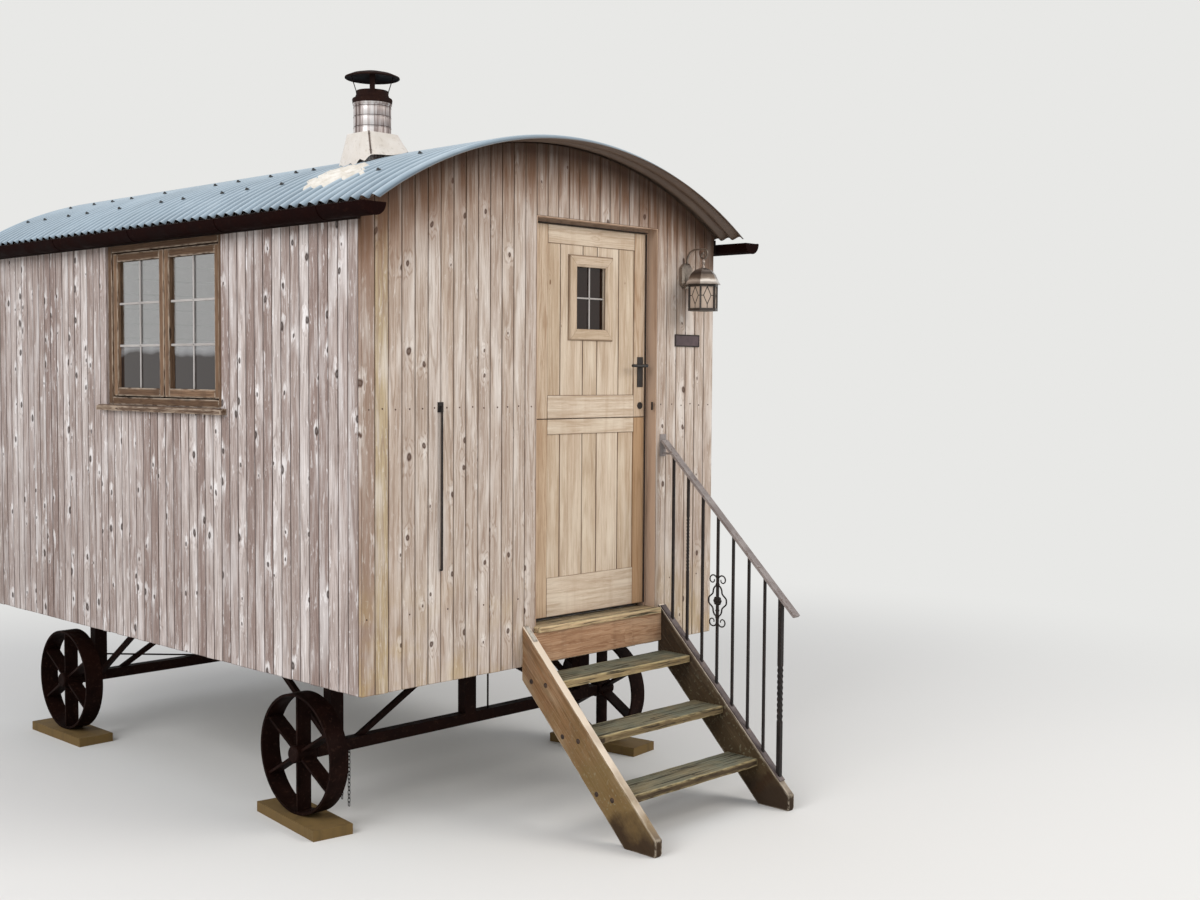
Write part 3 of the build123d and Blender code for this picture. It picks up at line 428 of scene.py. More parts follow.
# %% Front cladding finish
def front_weather_and_shade(m, colour, place, *rest):
    """Brown runs where the distance from the arch's centre nears its radius, painted shade under its edge, a
    yellow foot.
    """
    spot = add(m, "VectorMath", {0: place, 1: (0, 0, -arch_centre / 1000)}, operation="ADD")
    spot = add(m, "VectorMath", {0: spot, 1: (1, 0, 1)}, operation="MULTIPLY")
    far = add(m, "VectorMath", {0: spot}, operation="LENGTH", out="Value")
    under = add(m, "MapRange", {"Value": far, "From Min": 1.76, "From Max": 2.04})
    runs = add(m, "Mapping", {"Vector": place, "Scale": (30, 30, 2)})
    runs = add(m, "TexNoise", {"Vector": runs, "Scale": 1.0, "Detail": 3.0})
    runs = add(m, "MapRange", {"Value": runs, "From Min": 0.28, "From Max": 0.56, "To Max": 0.92})
    runs = add(m, "Math", {0: runs, 1: under}, operation="MULTIPLY")
    colour = add(m, "Mix", {"Factor": runs, "A": colour, "B": "#7A5840"}, data_type="RGBA")
    # painted shade: the top of the front wall, just under the roof's edge, is darkened towards #352116
    painted_shade_under_roof = add(m, "MapRange", {"Value": far, "From Min": 1.93, "From Max": 2.15, "To Max": 0.85})
    colour = add(m, "Mix", {"Factor": painted_shade_under_roof, "A": colour, "B": "#352116"}, data_type="RGBA")
    height = add(m, "SeparateXYZ", {"Vector": place}, out="Z")
    low = add(m, "MapRange", {"Value": height, "From Min": 1.3, "From Max": 0.74, "To Max": 0.85})
    across = add(m, "SeparateXYZ", {"Vector": place}, out="X")
    corner = add(m, "MapRange", {"Value": across, "From Min": -0.6, "From Max": -1.1, "To Min": 0.55})
    low = add(m, "Math", {0: low, 1: corner}, operation="MULTIPLY")
    blotch = add(m, "TexNoise", {"Vector": place, "Scale": 5.0, "Detail": 4.0})
    blotch = add(m, "MapRange", {"Value": blotch, "From Min": 0.4, "From Max": 0.65})
    low = add(m, "Math", {0: low, 1: blotch}, operation="MULTIPLY")
    return add(m, "Mix", {"Factor": low, "A": colour, "B": "#B59A62"}, data_type="RGBA")


# painted sunlight: the warmer, paler colour set of the front boards stands in for the sun on the front
sunlit_front_boards = timber_finish(
    "weathered_larch_front_boards_in_painted_sun", ["#9C8678", "#B6A384", "#BCAA9B", "#C2B3A6", "#B9A89A", "#CEC2B8"],
    ring="#8C7462", knot="#4A3226", knot_chance=0.24, knot_size=0.115, cell=(100, 150), halo=0.55,
    fleck=0.45, ring_share=0.55, fibre_share=0.4, ring_size=44, cloud_share=0.35, pale="#E2DAD2",
    streak="#92796A", streak_share=0.35, joint="#54412F", joint_share=0.75, extra=front_weather_and_shade)

# %% Lining finish
def lining_finish():
    """Pale painted matchboard: flat paint, a groove at each 95 mm of height, faint brush marks."""
    m = bare("painted_inner_matchboard")
    place = add(m, "TexCoord", out="Object")
    groove = add(m, "SeparateXYZ", {"Vector": place}, out="Z")
    groove = add(m, "Math", {0: groove, 1: 0.0475}, operation="PINGPONG")
    groove = add(m, "MapRange", {"Value": groove, "From Max": 0.006})
    brush = add(m, "Mapping", {"Vector": place, "Scale": (40, 4, 40)})
    brush = add(m, "TexNoise", {"Vector": brush, "Scale": 1.0, "Detail": 4.0})
    colour = add(m, "ValToRGB", {"Fac": brush}, stops=[(0.3, "#D9D7D2"), (0.7, "#E6E4DF")])
    colour = add(m, "Mix", {"Factor": groove, "A": "#A9A7A1", "B": colour}, data_type="RGBA")
    bump = add(m, "Bump", {"Height": groove, "Strength": 0.6, "Distance": 0.004})
    shader = add(m, "BsdfPrincipled", {"Base Color": colour, "Roughness": 0.6, "Normal": bump})
    add(m, "OutputMaterial", {"Surface": shader})
    return m


lining_paint = lining_finish()

# %% [markdown]
# The wall's own slab, behind the boards, carries the inner lining. It is a plain prism cut by the arch and
# by the window hole, so it is made of upright strips between the same heights as the boards.

# %% Strips and boards of a wall
board_thick, board_gap, board_round = 22, 3.2, 2.6
wall_thick, lining_foot = 110, skirt + 4


def zone_boards(start, end, count):
    """Joints between count boards of nearly equal width from start to end."""
    return np.linspace(start, end, count + 1)


def wall_boards(joints, face, out, runs, tones, across_x=False):
    """One block per board and per run of height. runs(a, b) lists (low, high) for a board from a to b, with
    None for a top that the arch trims. A board's face stands back by up to 1 mm and its foot hangs down by
    up to 3 mm."""
    made = []
    for a, b, tone in zip(joints[:-1], joints[1:], tones):
        gap = board_gap * rng.uniform(0.4, 1.3)
        for low, high in runs(a, b):
            proud = rng.uniform(-1.0, 0.0)
            tall = high
            if high is None:
                tall = under_roof(min(abs(a), abs(b)) if across_x else half_width - board_thick)
            tall -= low
            width = b - a - gap
            across, deep = (1, 0, 0), (0, -out, 0)
            corner = (a + gap / 2, face + proud * out, low)
            if not across_x:
                across, deep, corner = (0, 1, 0), (-out, 0, 0), (corner[1], corner[0], low)
            drop = rng.uniform(-3, 0)
            made.append(timber((width, board_thick, tall), corner, across, deep, radius=board_round, band=7,
                               pieces=(2, 1, 6), tone=tone,
                               top=None if high is not None else (lambda p: under_roof(p[:, 0])),
                               foot=(lambda p, drop=drop: drop) if low == skirt else None))
    return made

# %% Left and right walls
window_low, window_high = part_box("left_window_frame")
window_y = (window_low.y * 1000 - front_face, window_high.y * 1000 - front_face)
window_z = (window_low.z * 1000, window_high.z * 1000)
dark_boards = 0.15


def side_runs(a, b):
    """A board beside the window runs to the eave; one across it is cut into a lower and an upper length."""
    middle = (a + b) / 2
    if window_y[0] < middle < window_y[1]:
        return [(skirt, window_z[0]), (window_z[1], None)]
    return [(skirt, None)]


side_joints = np.concatenate([zone_boards(board_thick, window_y[0], 15), zone_boards(*window_y, 15)[1:],
                              zone_boards(window_y[1], hut_length - board_thick, 19)[1:]])


def slab(x0, x1, y0, y1, z0, z1=None, columns=1):
    """A prism; where z1 is None its top follows the arch along x, on a grid of columns."""
    xs = np.linspace(x0, x1, columns + 1)
    tops = under_roof(xs) if z1 is None else np.full(len(xs), float(z1))
    ring = np.concatenate([np.stack([xs, np.full(len(xs), float(z0))], -1), np.stack([xs, tops], -1)[::-1]])
    points = np.concatenate([np.insert(ring, 1, y, axis=1) for y in (y0, y1)])
    n = len(ring)
    number = np.arange(n)
    sides = np.stack([number, np.roll(number, -1), np.roll(number, -1) + n, number + n], -1)
    front = np.stack([np.arange(columns), np.arange(1, columns + 1), n - 2 - np.arange(columns),
                      n - 1 - np.arange(columns)], -1)
    return part(points, [sides[:, ::-1], front[:, ::-1], front + n])


for side, out in (("left", -1), ("right", 1)):
    face = out * half_width
    tones = rng.uniform(0.15, 1, len(side_joints) - 1)
    tones[rng.random(len(tones)) < dark_boards] = 0.03
    piece(side + "_cladding", wall_boards(side_joints, face, out, side_runs, tones), shaded_side_boards,
          stands_for=[side + "_wall"])
    x0, x1 = sorted((face - out * board_thick, face - out * wall_thick))
    strips = [slab(x0, x1, 0.5 + board_thick, window_y[0], lining_foot, None, 2),
              slab(x0, x1, *window_y, lining_foot, window_z[0]),
              slab(x0, x1, *window_y, window_z[1], None, 2),
              slab(x0, x1, window_y[1], hut_length - board_thick, lining_foot, None, 2)]
    piece(side + "_lining", strips, lining_paint)
print("side boards", len(side_joints) - 1)

# %% [markdown]
# The front is clad in the same boards, warmer and paler: its colour set is painted sunlight. The first board
# at the near corner is a brown mottled one and the second a yellow ochre one, and rows of nails hold them.

# %% Front and rear walls
over_low, over_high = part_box("front_wall_over_door")
door_x = (over_low.x * 1000, over_high.x * 1000)
door_head = over_low.z * 1000
under_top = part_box("front_wall_under_door")[1].z * 1000


def front_runs(a, b):
    """Over the door a board is short; below it a stub closes the wall behind the steps."""
    if door_x[0] < (a + b) / 2 < door_x[1]:
        return [(skirt, under_top), (door_head, None)]
    return [(skirt, None)]


front_joints = np.concatenate([zone_boards(-half_width, door_x[0], 14), zone_boards(*door_x, 12)[1:],
                               zone_boards(door_x[1], half_width, 6)[1:]])
front_tones = rng.uniform(0.38, 1, len(front_joints) - 1)
front_tones[:2] = (0.0, 0.2)
piece("front_cladding", wall_boards(front_joints, 0, -1, front_runs, front_tones, True), sunlit_front_boards,
      stands_for=["front_wall_left", "front_wall_right", "front_wall_over_door",
                                    "front_wall_under_door"])

# %% [markdown]
# Nails hold each board to a rail inside the wall. Their heads are rusty dots in two level rows, a little off
# line, and the lower row has lost most of them. One small dome is copied to a list of places.

# %% Nails of the front
def domes(places, out, radius, rise, count=8, rings=3):
    """Round heads: rings of points at radius * cos(a) across and rise * sin(a) out, with a closed tip."""
    out = np.asarray(out, float) / np.linalg.norm(out)
    side = np.cross(out, (0, 0, 1) if abs(out[2]) < 0.9 else (0, 1, 0))
    side /= np.linalg.norm(side)
    over = np.cross(out, side)
    lean = np.linspace(0, pi / 2, rings, endpoint=False)
    turn = np.linspace(0, 2 * pi, count, endpoint=False)
    level = np.cos(turn)[:, None] * side + np.sin(turn)[:, None] * over
    ring = np.cos(lean)[:, None, None] * radius * level + np.sin(lean)[:, None, None] * rise * out
    shell = np.concatenate([ring.reshape(-1, 3), [out * rise]])
    quads = grid_faces(rings, count)
    last = (rings - 1) * count + np.arange(count)
    tip = np.stack([last, np.roll(last, -1), np.full(count, rings * count)], -1)
    made = []
    for spot in places:
        made.append(part(shell + np.asarray(spot, float), [quads, tip, np.arange(count)[None, ::-1]]))
    return made


def speckled_metal(name, main, other, rough, metallic=0.0):
    """Small fittings: two colours in a fine cloud."""
    m = bare(name)
    place = add(m, "TexCoord", out="Object")
    mist = add(m, "TexNoise", {"Vector": place, "Scale": 45.0, "Detail": 3.0})
    mist = add(m, "MapRange", {"Value": mist, "From Min": 0.4, "From Max": 0.6})
    colour = add(m, "Mix", {"Factor": mist, "A": main, "B": other}, data_type="RGBA")
    shader = add(m, "BsdfPrincipled", {"Base Color": colour, "Roughness": rough, "Metallic": metallic})
    add(m, "OutputMaterial", {"Surface": shader})
    return m


nail_rust = speckled_metal("rusted_nail_heads", "#3A2A22", "#5A4030", 0.8)
nail_upper, nail_lower, nail_round, nail_proud = 2004, 1075, 4.2, 1.6
middles = (front_joints[:-1] + front_joints[1:]) / 2
middles = middles[(middles < door_x[0]) | (middles > door_x[1])]


def nail_row(places, level):
    """A nail near each place, up to 9 mm to either side and 5 mm up or down."""
    return [(x + rng.uniform(-9, 9), -0.2, level + rng.uniform(-5, 5)) for x in places]


nails = nail_row(middles, nail_upper) + nail_row(middles[::3], nail_lower)
piece("front_nails", domes(nails, (0, -1, 0), nail_round, nail_proud), nail_rust)

# %% Lining of the front, rear wall
inner = half_width - board_thick
piece("front_lining", [slab(-inner, door_x[0], board_thick, wall_thick, lining_foot, None, 8),
                       slab(*door_x, board_thick, wall_thick, door_head, None, 8),
                       slab(*door_x, board_thick, wall_thick, lining_foot, under_top),
                       slab(door_x[1], inner, board_thick, wall_thick, lining_foot, None, 4)],
      lining_paint)
rear_count = 32
rear_joints = zone_boards(-half_width, half_width, rear_count)
piece("rear_cladding", wall_boards(rear_joints, hut_length, 1, lambda a, b: [(skirt, None)],
                                   rng.uniform(0.1, 1, rear_count), True), shaded_side_boards,
      stands_for=["rear_wall"])
rear_lining = slab(-inner, inner, hut_length - wall_thick, hut_length - board_thick, lining_foot, None, 12)
piece("rear_lining", [rear_lining], lining_paint)

# %% [markdown]
# The roof is corrugated steel with a baked pale blue-grey coat, rolled to the arch. Its wave runs along the
# hut and each ridge goes over from eave to eave. The sheet is a grid: angle across, distance along.

# %% Roof sheet
def roof_finish():
    """Coated steel: an even satin coat, dull runs down the ridges, painted shade in the troughs, painted
    highlights on the crests, brown underneath.
    """
    m = bare("coated_corrugated_steel")
    place = add(m, "TexCoord", out="Object")
    tone = add(m, "Attribute", attribute_name="tone", out="Fac")
    wear_and_shade = add(m, "Attribute", attribute_name="wear_and_shade", out="Fac")
    runs = add(m, "Mapping", {"Vector": place, "Scale": (1.2, 26, 1.2)})
    runs = add(m, "TexNoise", {"Vector": runs, "Scale": 1.0, "Detail": 4.0})
    cloud = add(m, "TexNoise", {"Vector": place, "Scale": 2.3, "Detail": 5.0, "Roughness": 0.6})
    mixed = add(m, "Math", {0: runs, 1: 0.5, 2: cloud}, operation="MULTIPLY_ADD")
    colour = add(m, "ValToRGB", {"Fac": mixed}, stops=[(0.5, "#74838D"), (0.8, "#8B9BA6"), (1.0, "#A3B0B8")])
    # painted shade: the troughs, where the trough mask is high, are darkened towards #3C4851
    trough_shade = add(m, "MapRange", {"Value": wear_and_shade, "From Min": 0.03, "From Max": 0.6, "To Max": 0.88})
    colour = add(m, "Mix", {"Factor": trough_shade, "A": colour, "B": "#3C4851"}, data_type="RGBA")
    # painted highlight: the crests, where the trough mask is near 0, are lightened towards #C3D0D8
    ridge = add(m, "MapRange", {"Value": wear_and_shade, "From Min": 0.02, "From Max": 0.0, "To Max": 0.45})
    colour = add(m, "Mix", {"Factor": ridge, "A": colour, "B": "#C3D0D8"}, data_type="RGBA")
    under = add(m, "ValToRGB", {"Fac": cloud}, stops=[(0.3, "#54443A"), (0.7, "#6E5C4E")])
    colour = add(m, "Mix", {"Factor": tone, "A": under, "B": colour}, data_type="RGBA")
    satin = add(m, "MapRange", {"Value": cloud, "To Min": 0.32, "To Max": 0.55})
    shader = add(m, "BsdfPrincipled", {"Base Color": colour, "Roughness": satin})
    add(m, "OutputMaterial", {"Surface": shader})
    return m


roof_coat = roof_finish()
steps_per_wave = 12
wave_pitch = (hut_length + 2 * verge) / pitches
eave_angle = asin((half_width + eave_reach) / roof_radius)
along = np.linspace(-verge, hut_length + verge, pitches * steps_per_wave + 1)
wave = 0.5 - 0.5 * np.cos(2 * pi * (along + verge) / wave_pitch)
angle = np.linspace(-eave_angle, eave_angle, 45)


def roof_skin(lift):
    """radius = arch radius + depth * wave + lift; x, z = centre + radius * (sin(angle), cos(angle))."""
    radius = roof_radius + wave_deep * wave[None, :] + lift
    return np.stack([radius * np.sin(angle)[:, None], np.broadcast_to(along, (len(angle), len(along))),
                     arch_centre + radius * np.cos(angle)[:, None]], -1)


rows, columns = len(angle), len(along)
outer, inner_skin = roof_skin(sheet), roof_skin(0.0)
roof_points = np.concatenate([outer.reshape(-1, 3), inner_skin.reshape(-1, 3)])
number = np.arange(rows * columns).reshape(rows, columns)
flat_quads = grid_faces(rows, columns, closed=False)
rim = np.concatenate([number[0], number[1:, -1], number[-1, -2::-1], number[-2:0:-1, 0]])
rim_quads = np.stack([rim, np.roll(rim, -1), np.roll(rim, -1) + rows * columns, rim + rows * columns], -1)
roof_tone = np.concatenate([np.ones(rows * columns), np.zeros(rows * columns)])
# The trough mask goes in the wear slot; the roof's finish turns it into painted shade in troughs and painted
# highlights on crests.
trough = np.tile(np.broadcast_to(1 - wave, (rows, columns)).ravel() ** 3, 2)
roof_faces = [flat_quads[:, ::-1], flat_quads + rows * columns, rim_quads]
roof = piece("corrugated_roof", [part(roof_points, roof_faces, None, roof_tone, trough)], roof_coat,
             stands_for=["roof_sheet"], crease=60)
print("roof faces", len(roof.data.polygons))

# %% [markdown]
# The sheet is screwed to the purlins through its ridges. Each screw has a black cap over a rubber washer,
# in two rows above each eave and one nearer the top, not quite evenly spaced. None stands by the flue.

# %% Screw caps
cap_black = speckled_metal("black_plastic_screw_caps", "#16181A", "#24272A", 0.45)
washer_round, washer_rise, cap_round, cap_rise = 13, 3, 8.5, 11
flue_place, flue_clear = (-617, 679), 190
low_row = (196, 912, 1245, 1492, 1836, 2099, 2510, 2904, 3168, 3416, 3700)
high_row = (192, 1000, 1169, 1390, 1705, 1940, 2417, 2824, 3054, 3315, 3624)
top_row = (210, 1020, 1420, 1830, 2240, 2640, 3060, 3480)
screw_parts = []
for row_x, row_y in ((-967, low_row), (-730, high_row), (-250, top_row), (250, top_row), (730, high_row),
                     (967, low_row)):
    lean = asin(row_x / roof_radius)
    away = (sin(lean), 0, cos(lean))
    crest = [(round((y + verge) / wave_pitch - 0.5) + 0.5) * wave_pitch - verge for y in row_y]
    high = roof_radius + wave_deep + sheet - 0.5
    spots = [(high * sin(lean), y, arch_centre + high * cos(lean)) for y in crest
             if abs(row_x - flue_place[0]) > flue_clear or abs(y - flue_place[1]) > flue_clear]
    screw_parts += domes(spots, away, washer_round, washer_rise, count=12)
    screw_parts += domes(spots, away, cap_round, cap_rise, count=10, rings=4)
piece("roof_screw_caps", screw_parts, cap_black)

# %% [markdown]
# Painted and bare metals are told apart by their base: paint hides the metal and shines a little, worn iron
# lets it through. One recipe mixes two paints by cloudy wear, with a rough or smooth surface.

# %% Metal finish
def metal_finish(name, main, other, metallic=0.0, rough=(0.35, 0.6), cloud=9.0, spots=None, spot_share=0.6,
                 grit=0.0, specular=0.5):
    """Two colours mixed by a cloud of that fineness per metre; spots add rust or dirt; grit roughens."""
    m = bare(name)
    place = add(m, "TexCoord", out="Object")
    mist = add(m, "TexNoise", {"Vector": place, "Scale": cloud, "Detail": 6.0, "Roughness": 0.6})
    share = add(m, "MapRange", {"Value": mist, "From Min": 0.38, "From Max": 0.64})
    colour = add(m, "Mix", {"Factor": share, "A": main, "B": other}, data_type="RGBA")
    if spots is not None:
        speck = add(m, "TexNoise", {"Vector": place, "Scale": cloud * 7, "Detail": 4.0})
        speck = add(m, "MapRange", {"Value": speck, "From Min": 0.58, "From Max": 0.68,
                                    "To Max": spot_share})
        colour = add(m, "Mix", {"Factor": speck, "A": colour, "B": spots}, data_type="RGBA")
    matt = add(m, "MapRange", {"Value": mist, "From Min": 0.35, "From Max": 0.65, "To Min": rough[0],
                               "To Max": rough[1]})
    feeds = {"Base Color": colour, "Roughness": matt, "Metallic": metallic, "Specular IOR Level": specular}
    if grit:
        grain = add(m, "TexNoise", {"Vector": place, "Scale": 260.0, "Detail": 2.0})
        feeds["Normal"] = add(m, "Bump", {"Height": grain, "Strength": grit, "Distance": 0.001})
    shader = add(m, "BsdfPrincipled", feeds)
    add(m, "OutputMaterial", {"Surface": shader})
    return m


def dress(finish, *names):
    """Gives carried-over solids their finish."""
    for name in names:
        mesh = cad_nodes[name].data
        mesh.materials.clear()
        mesh.materials.append(finish)


gutter_paint = metal_finish("brown_black_gutter_paint", "#140605", "#1A0A08", rough=(0.55, 0.75),
                            spots="#24120D", specular=0.02)
chassis_paint = metal_finish("brown_black_chassis_paint", "#1A0D0A", "#22130F", rough=(0.55, 0.8),
                             spots="#35251C", grit=0.3, specular=0.05)
wheel_paint = metal_finish("brown_black_cast_iron_paint", "#1C0D09", "#120806", rough=(0.5, 0.75),
                           spots="#33211A", grit=0.3, specular=0.04)
black_iron = metal_finish("wrought_iron_black_paint", "#15100F", "#211A18", rough=(0.45, 0.7),
                          spots="#3C2C26", grit=0.25, specular=0.3)
rail_steel = metal_finish("worn_grey_handrail_steel", "#8E8581", "#6E6461", rough=(0.4, 0.6),
                          spots="#574338", spot_share=0.8, grit=0.3)
pewter = metal_finish("pewter_grey_lantern", "#A2968A", "#635850", metallic=0.8, rough=(0.22, 0.4),
                      grit=0.15, cloud=9)
door_black = metal_finish("black_door_iron", "#171413", "#241F1D", rough=(0.35, 0.5), grit=0.2)
slate = metal_finish("grey_purple_slate", "#4C3A3D", "#3E2F32", rough=(0.5, 0.65), cloud=14)
dress(chassis_paint, "chassis", "front_axle", "rear_axle")
dress(wheel_paint, "wheel_front_left", "wheel_front_right", "wheel_rear_left", "wheel_rear_right")
dress(black_iron, "cabin_hook")
lantern_iron = metal_finish("black_lantern_frame", "#4A423D", "#2E2926", metallic=0.5, rough=(0.35, 0.5))
foot_steel = metal_finish("grey_brown_foot_bar", "#5E5250", "#473B3A", rough=(0.45, 0.65), spots="#6E5E50")
dress(foot_steel, "foot_bar")
dress(rail_steel, "handrail")
dress(pewter, "lantern_bracket")


def cap_finish():
    """Pewter-coloured cast cap with a soft cloud: a painted highlight at the brim and the top, painted shade
    between.
    """
    m = bare("pewter_cap_painted_highlight_and_shade")
    place = add(m, "TexCoord", out="Object")
    mist = add(m, "TexNoise", {"Vector": place, "Scale": 30.0, "Detail": 3.0})
    low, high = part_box("lantern_cap")[0].z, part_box("lantern_cap")[1].z
    height = add(m, "SeparateXYZ", {"Vector": place}, out="Z")
    share = add(m, "MapRange", {"Value": height, "From Min": low, "From Max": high})
    share = add(m, "Math", {0: mist, 1: 0.12, 2: share}, operation="MULTIPLY_ADD")
    # painted highlight near the brim (#D8CFC6) and the top, painted shade (#4C4039) in between
    colour = add(m, "ValToRGB", {"Fac": share}, stops=[(0.06, "#8A7E74"), (0.2, "#D8CFC6"), (0.3, "#7A6C60"),
                                                       (0.5, "#4C4039"), (0.72, "#8C8078")])
    shader = add(m, "BsdfPrincipled", {"Base Color": colour, "Roughness": 0.3, "Metallic": 0.7})
    add(m, "OutputMaterial", {"Surface": shader})
    return m


dress(cap_finish(), "lantern_cap")
dress(lantern_iron, "lantern_cage")
dress(door_black, "door_handle", "door_hinges")
dress(slate, "wall_plate")
dress(lining_paint, "floor", "ceiling")

# %% [markdown]
# Glass panes are clear float glass. The side panes are painted dark below a height and the door's pane is
# coloured dark brown: both are painted shade for the dark room behind. The lantern's panes are cream because
# of the etched glass that spreads the lamp's light.

# %% Glass
def glass_finish(name, colour, clear, rough, sheen=0.0, dim=None):
    """Glass: the share of light let through and how smooth it is. sheen adds a mirror-like share, as a pane
    has that reflects a bright sky. dim is a height in metres below which the pane is painted dark: painted
    shade that stands in for the dark room behind it."""
    m = bare(name)
    if dim is not None:
        # painted shade: below the height dim the pane turns dark brown-grey, lets less light through and
        # mirrors less
        place = add(m, "TexCoord", out="Object")
        wave = add(m, "TexNoise", {"Vector": place, "Scale": 2.2, "Detail": 3.0})
        height = add(m, "SeparateXYZ", {"Vector": place}, out="Z")
        height = add(m, "Math", {0: wave, 1: -0.16, 2: height}, operation="MULTIPLY_ADD")
        above = add(m, "MapRange", {"Value": height, "From Min": dim - 0.1, "From Max": dim - 0.03})
        colour = add(m, "Mix", {"Factor": above, "A": "#2C2320", "B": colour}, data_type="RGBA")
        clear = add(m, "MapRange", {"Value": above, "To Min": 0.2, "To Max": clear})
        sheen = add(m, "MapRange", {"Value": above, "To Min": 0.02, "To Max": sheen})
    feeds = {"Base Color": colour, "Roughness": rough, "Transmission Weight": clear, "IOR": 1.45}
    shader = add(m, "BsdfPrincipled", feeds)
    if dim is not None:
        mirror = add(m, "BsdfGlossy", {"Color": "#F4F4F4", "Roughness": 0.03})
        shader = add(m, "MixShader", {0: sheen, 1: shader, 2: mirror})
    add(m, "OutputMaterial", {"Surface": shader})
    return m


clear_glass = glass_finish("clear_float_glass_painted_dark_below", "#DCDCDE", 1.0, 0.02, sheen=0.26, dim=2.27)
# painted shade: the door's pane is coloured dark brown and lets little light through, for the dark room
# behind
dark_glass = glass_finish("door_glass_tinted_dark_as_painted_shade", "#2A1A12", 0.35, 0.04)
cream_glass = glass_finish("etched_cream_glass", "#C9B4A2", 0.25, 0.35)
dress(clear_glass, "left_window_glass", "right_window_glass")
dress(dark_glass, "door_glass")
dress(cream_glass, "lantern_glass")

# %% [markdown]
# The flue is a twin-wall stainless pipe with pressed seams, streaked by soot and rain. A folded sheet skirts
# its foot, sealed to the roof with white silicone, and a black cowl on four straps keeps the rain out. Pipe,
# collar and cowl are profiles turned about the pipe's middle.

# %% Flue pipe and cowl
flue_x, flue_y = (node_box("flue_pipe")[0][:2] + node_box("flue_pipe")[1][:2]) / 2
pipe_foot, pipe_top = node_box("flue_pipe")[0][2], node_box("flue_pipe")[1][2]


def turned(profile, centre, ring=False, wear_and_shade=None):
    """point = centre + (radius * cos a, radius * sin a, height). ring closes the profile on itself;
    otherwise its first and last points lie on the axis, the first at the foot."""
    profile, count = np.asarray(profile, float), 48
    body = profile if ring else profile[1:-1]
    a = np.linspace(0, 2 * pi, count, endpoint=False)
    shell = np.stack([body[:, :1] * np.cos(a), body[:, :1] * np.sin(a),
                      np.broadcast_to(body[:, 1:], (len(body), count))], -1).reshape(-1, 3)
    faces = [grid_faces(len(body), count)]
    if ring:
        faces.append(closing_quads(len(body), count))
        shade = np.repeat(np.zeros(len(body)) if wear_and_shade is None else np.asarray(wear_and_shade, float), count)
    else:
        shell = np.concatenate([shell, [(0, 0, profile[0, 1]), (0, 0, profile[-1, 1])]])
        foot, tip = len(shell) - 2, len(shell) - 1
        turn_row, last = np.arange(count), (len(body) - 1) * count
        faces.append(np.stack([np.full(count, foot), np.roll(turn_row, -1), turn_row], -1))
        faces.append(np.stack([last + turn_row, last + np.roll(turn_row, -1), np.full(count, tip)], -1))
        shade = np.zeros(len(shell))
    return part(shell + np.asarray(centre, float), faces, None, 0.5, shade)


def streaked_steel():
    """Stainless steel outdoors: bright, with brown streaks down it, and darker in the seams' grooves and at
    the top.
    """
    m = bare("streaked_stainless_flue")
    place = add(m, "TexCoord", out="Object")
    seam = add(m, "Attribute", attribute_name="wear_and_shade", out="Fac")
    runs = add(m, "Mapping", {"Vector": place, "Scale": (42, 42, 2.2)})
    runs = add(m, "TexNoise", {"Vector": runs, "Scale": 1.0, "Detail": 4.0, "Roughness": 0.6})
    colour = add(m, "ValToRGB", {"Fac": runs}, stops=[(0.38, "#6A5A55"), (0.48, "#A89A95"),
                                                      (0.6, "#DCD6D3")])
    colour = add(m, "Mix", {"Factor": seam, "A": colour, "B": "#33241F"}, data_type="RGBA")
    matt = add(m, "MapRange", {"Value": runs, "From Min": 0.35, "From Max": 0.65, "To Min": 0.62,
                               "To Max": 0.42})
    shader = add(m, "BsdfPrincipled", {"Base Color": colour, "Roughness": matt, "Metallic": 0.4})
    add(m, "OutputMaterial", {"Surface": shader})
    return m


pipe_steel = streaked_steel()
pipe_profile, pipe_seam_dark = [(84, pipe_foot), (91, pipe_foot)], [0, 0]
for seam_z in (3361, 3412, 3459):
    pipe_profile += [(91, seam_z - 5), (92.5, seam_z - 4), (92.5, seam_z), (90, seam_z + 1),
                     (90, seam_z + 3), (91, seam_z + 4)]
    pipe_seam_dark += [0, 0, 0.5, 0.9, 0.9, 0]
pipe_profile += [(91, 3466), (95, 3470), (95, pipe_top - 8), (91, pipe_top), (84, pipe_top)]
pipe_seam_dark += [0, 0.2, 0.1, 0.7, 0.9]
piece("flue_pipe_steel", [turned(pipe_profile, (flue_x, flue_y, 0), ring=True, wear_and_shade=pipe_seam_dark)], pipe_steel,
      stands_for=["flue_pipe"], crease=50)
cowl_lo, cowl_hi = node_box("flue_cowl")
brim = (cowl_hi[0] - cowl_lo[0]) / 2
cowl_black = metal_finish("sooty_black_cowl", "#1A0D0B", "#261611", rough=(0.55, 0.8), spots="#35231C",
                          specular=0.06)
brim_z, disc_top = cowl_hi[2] - 30, cowl_hi[2]
disc_profile = [(0, brim_z + 8), (60, brim_z + 5), (brim - 12, brim_z - 3), (brim - 3, brim_z - 9),
                (brim, brim_z - 7), (brim - 1, brim_z - 1), (brim * 0.75, brim_z + 13),
                (brim * 0.4, disc_top - 6), (12, disc_top), (0, disc_top)]
collar_profile = [(70, 3478), (96, 3478), (98, pipe_top), (96, pipe_top + 6), (84, pipe_top + 12),
                  (77, pipe_top + 30), (77, pipe_top + 44), (73, pipe_top + 44), (70, pipe_top + 20)]
disc = turned(disc_profile, (flue_x, flue_y, 0))
pipe_collar = turned(collar_profile, (flue_x, flue_y, 0), ring=True)
straps = []
strap_ways = np.array([-127.3, -37.3, 52.7, 142.7]) * pi / 180
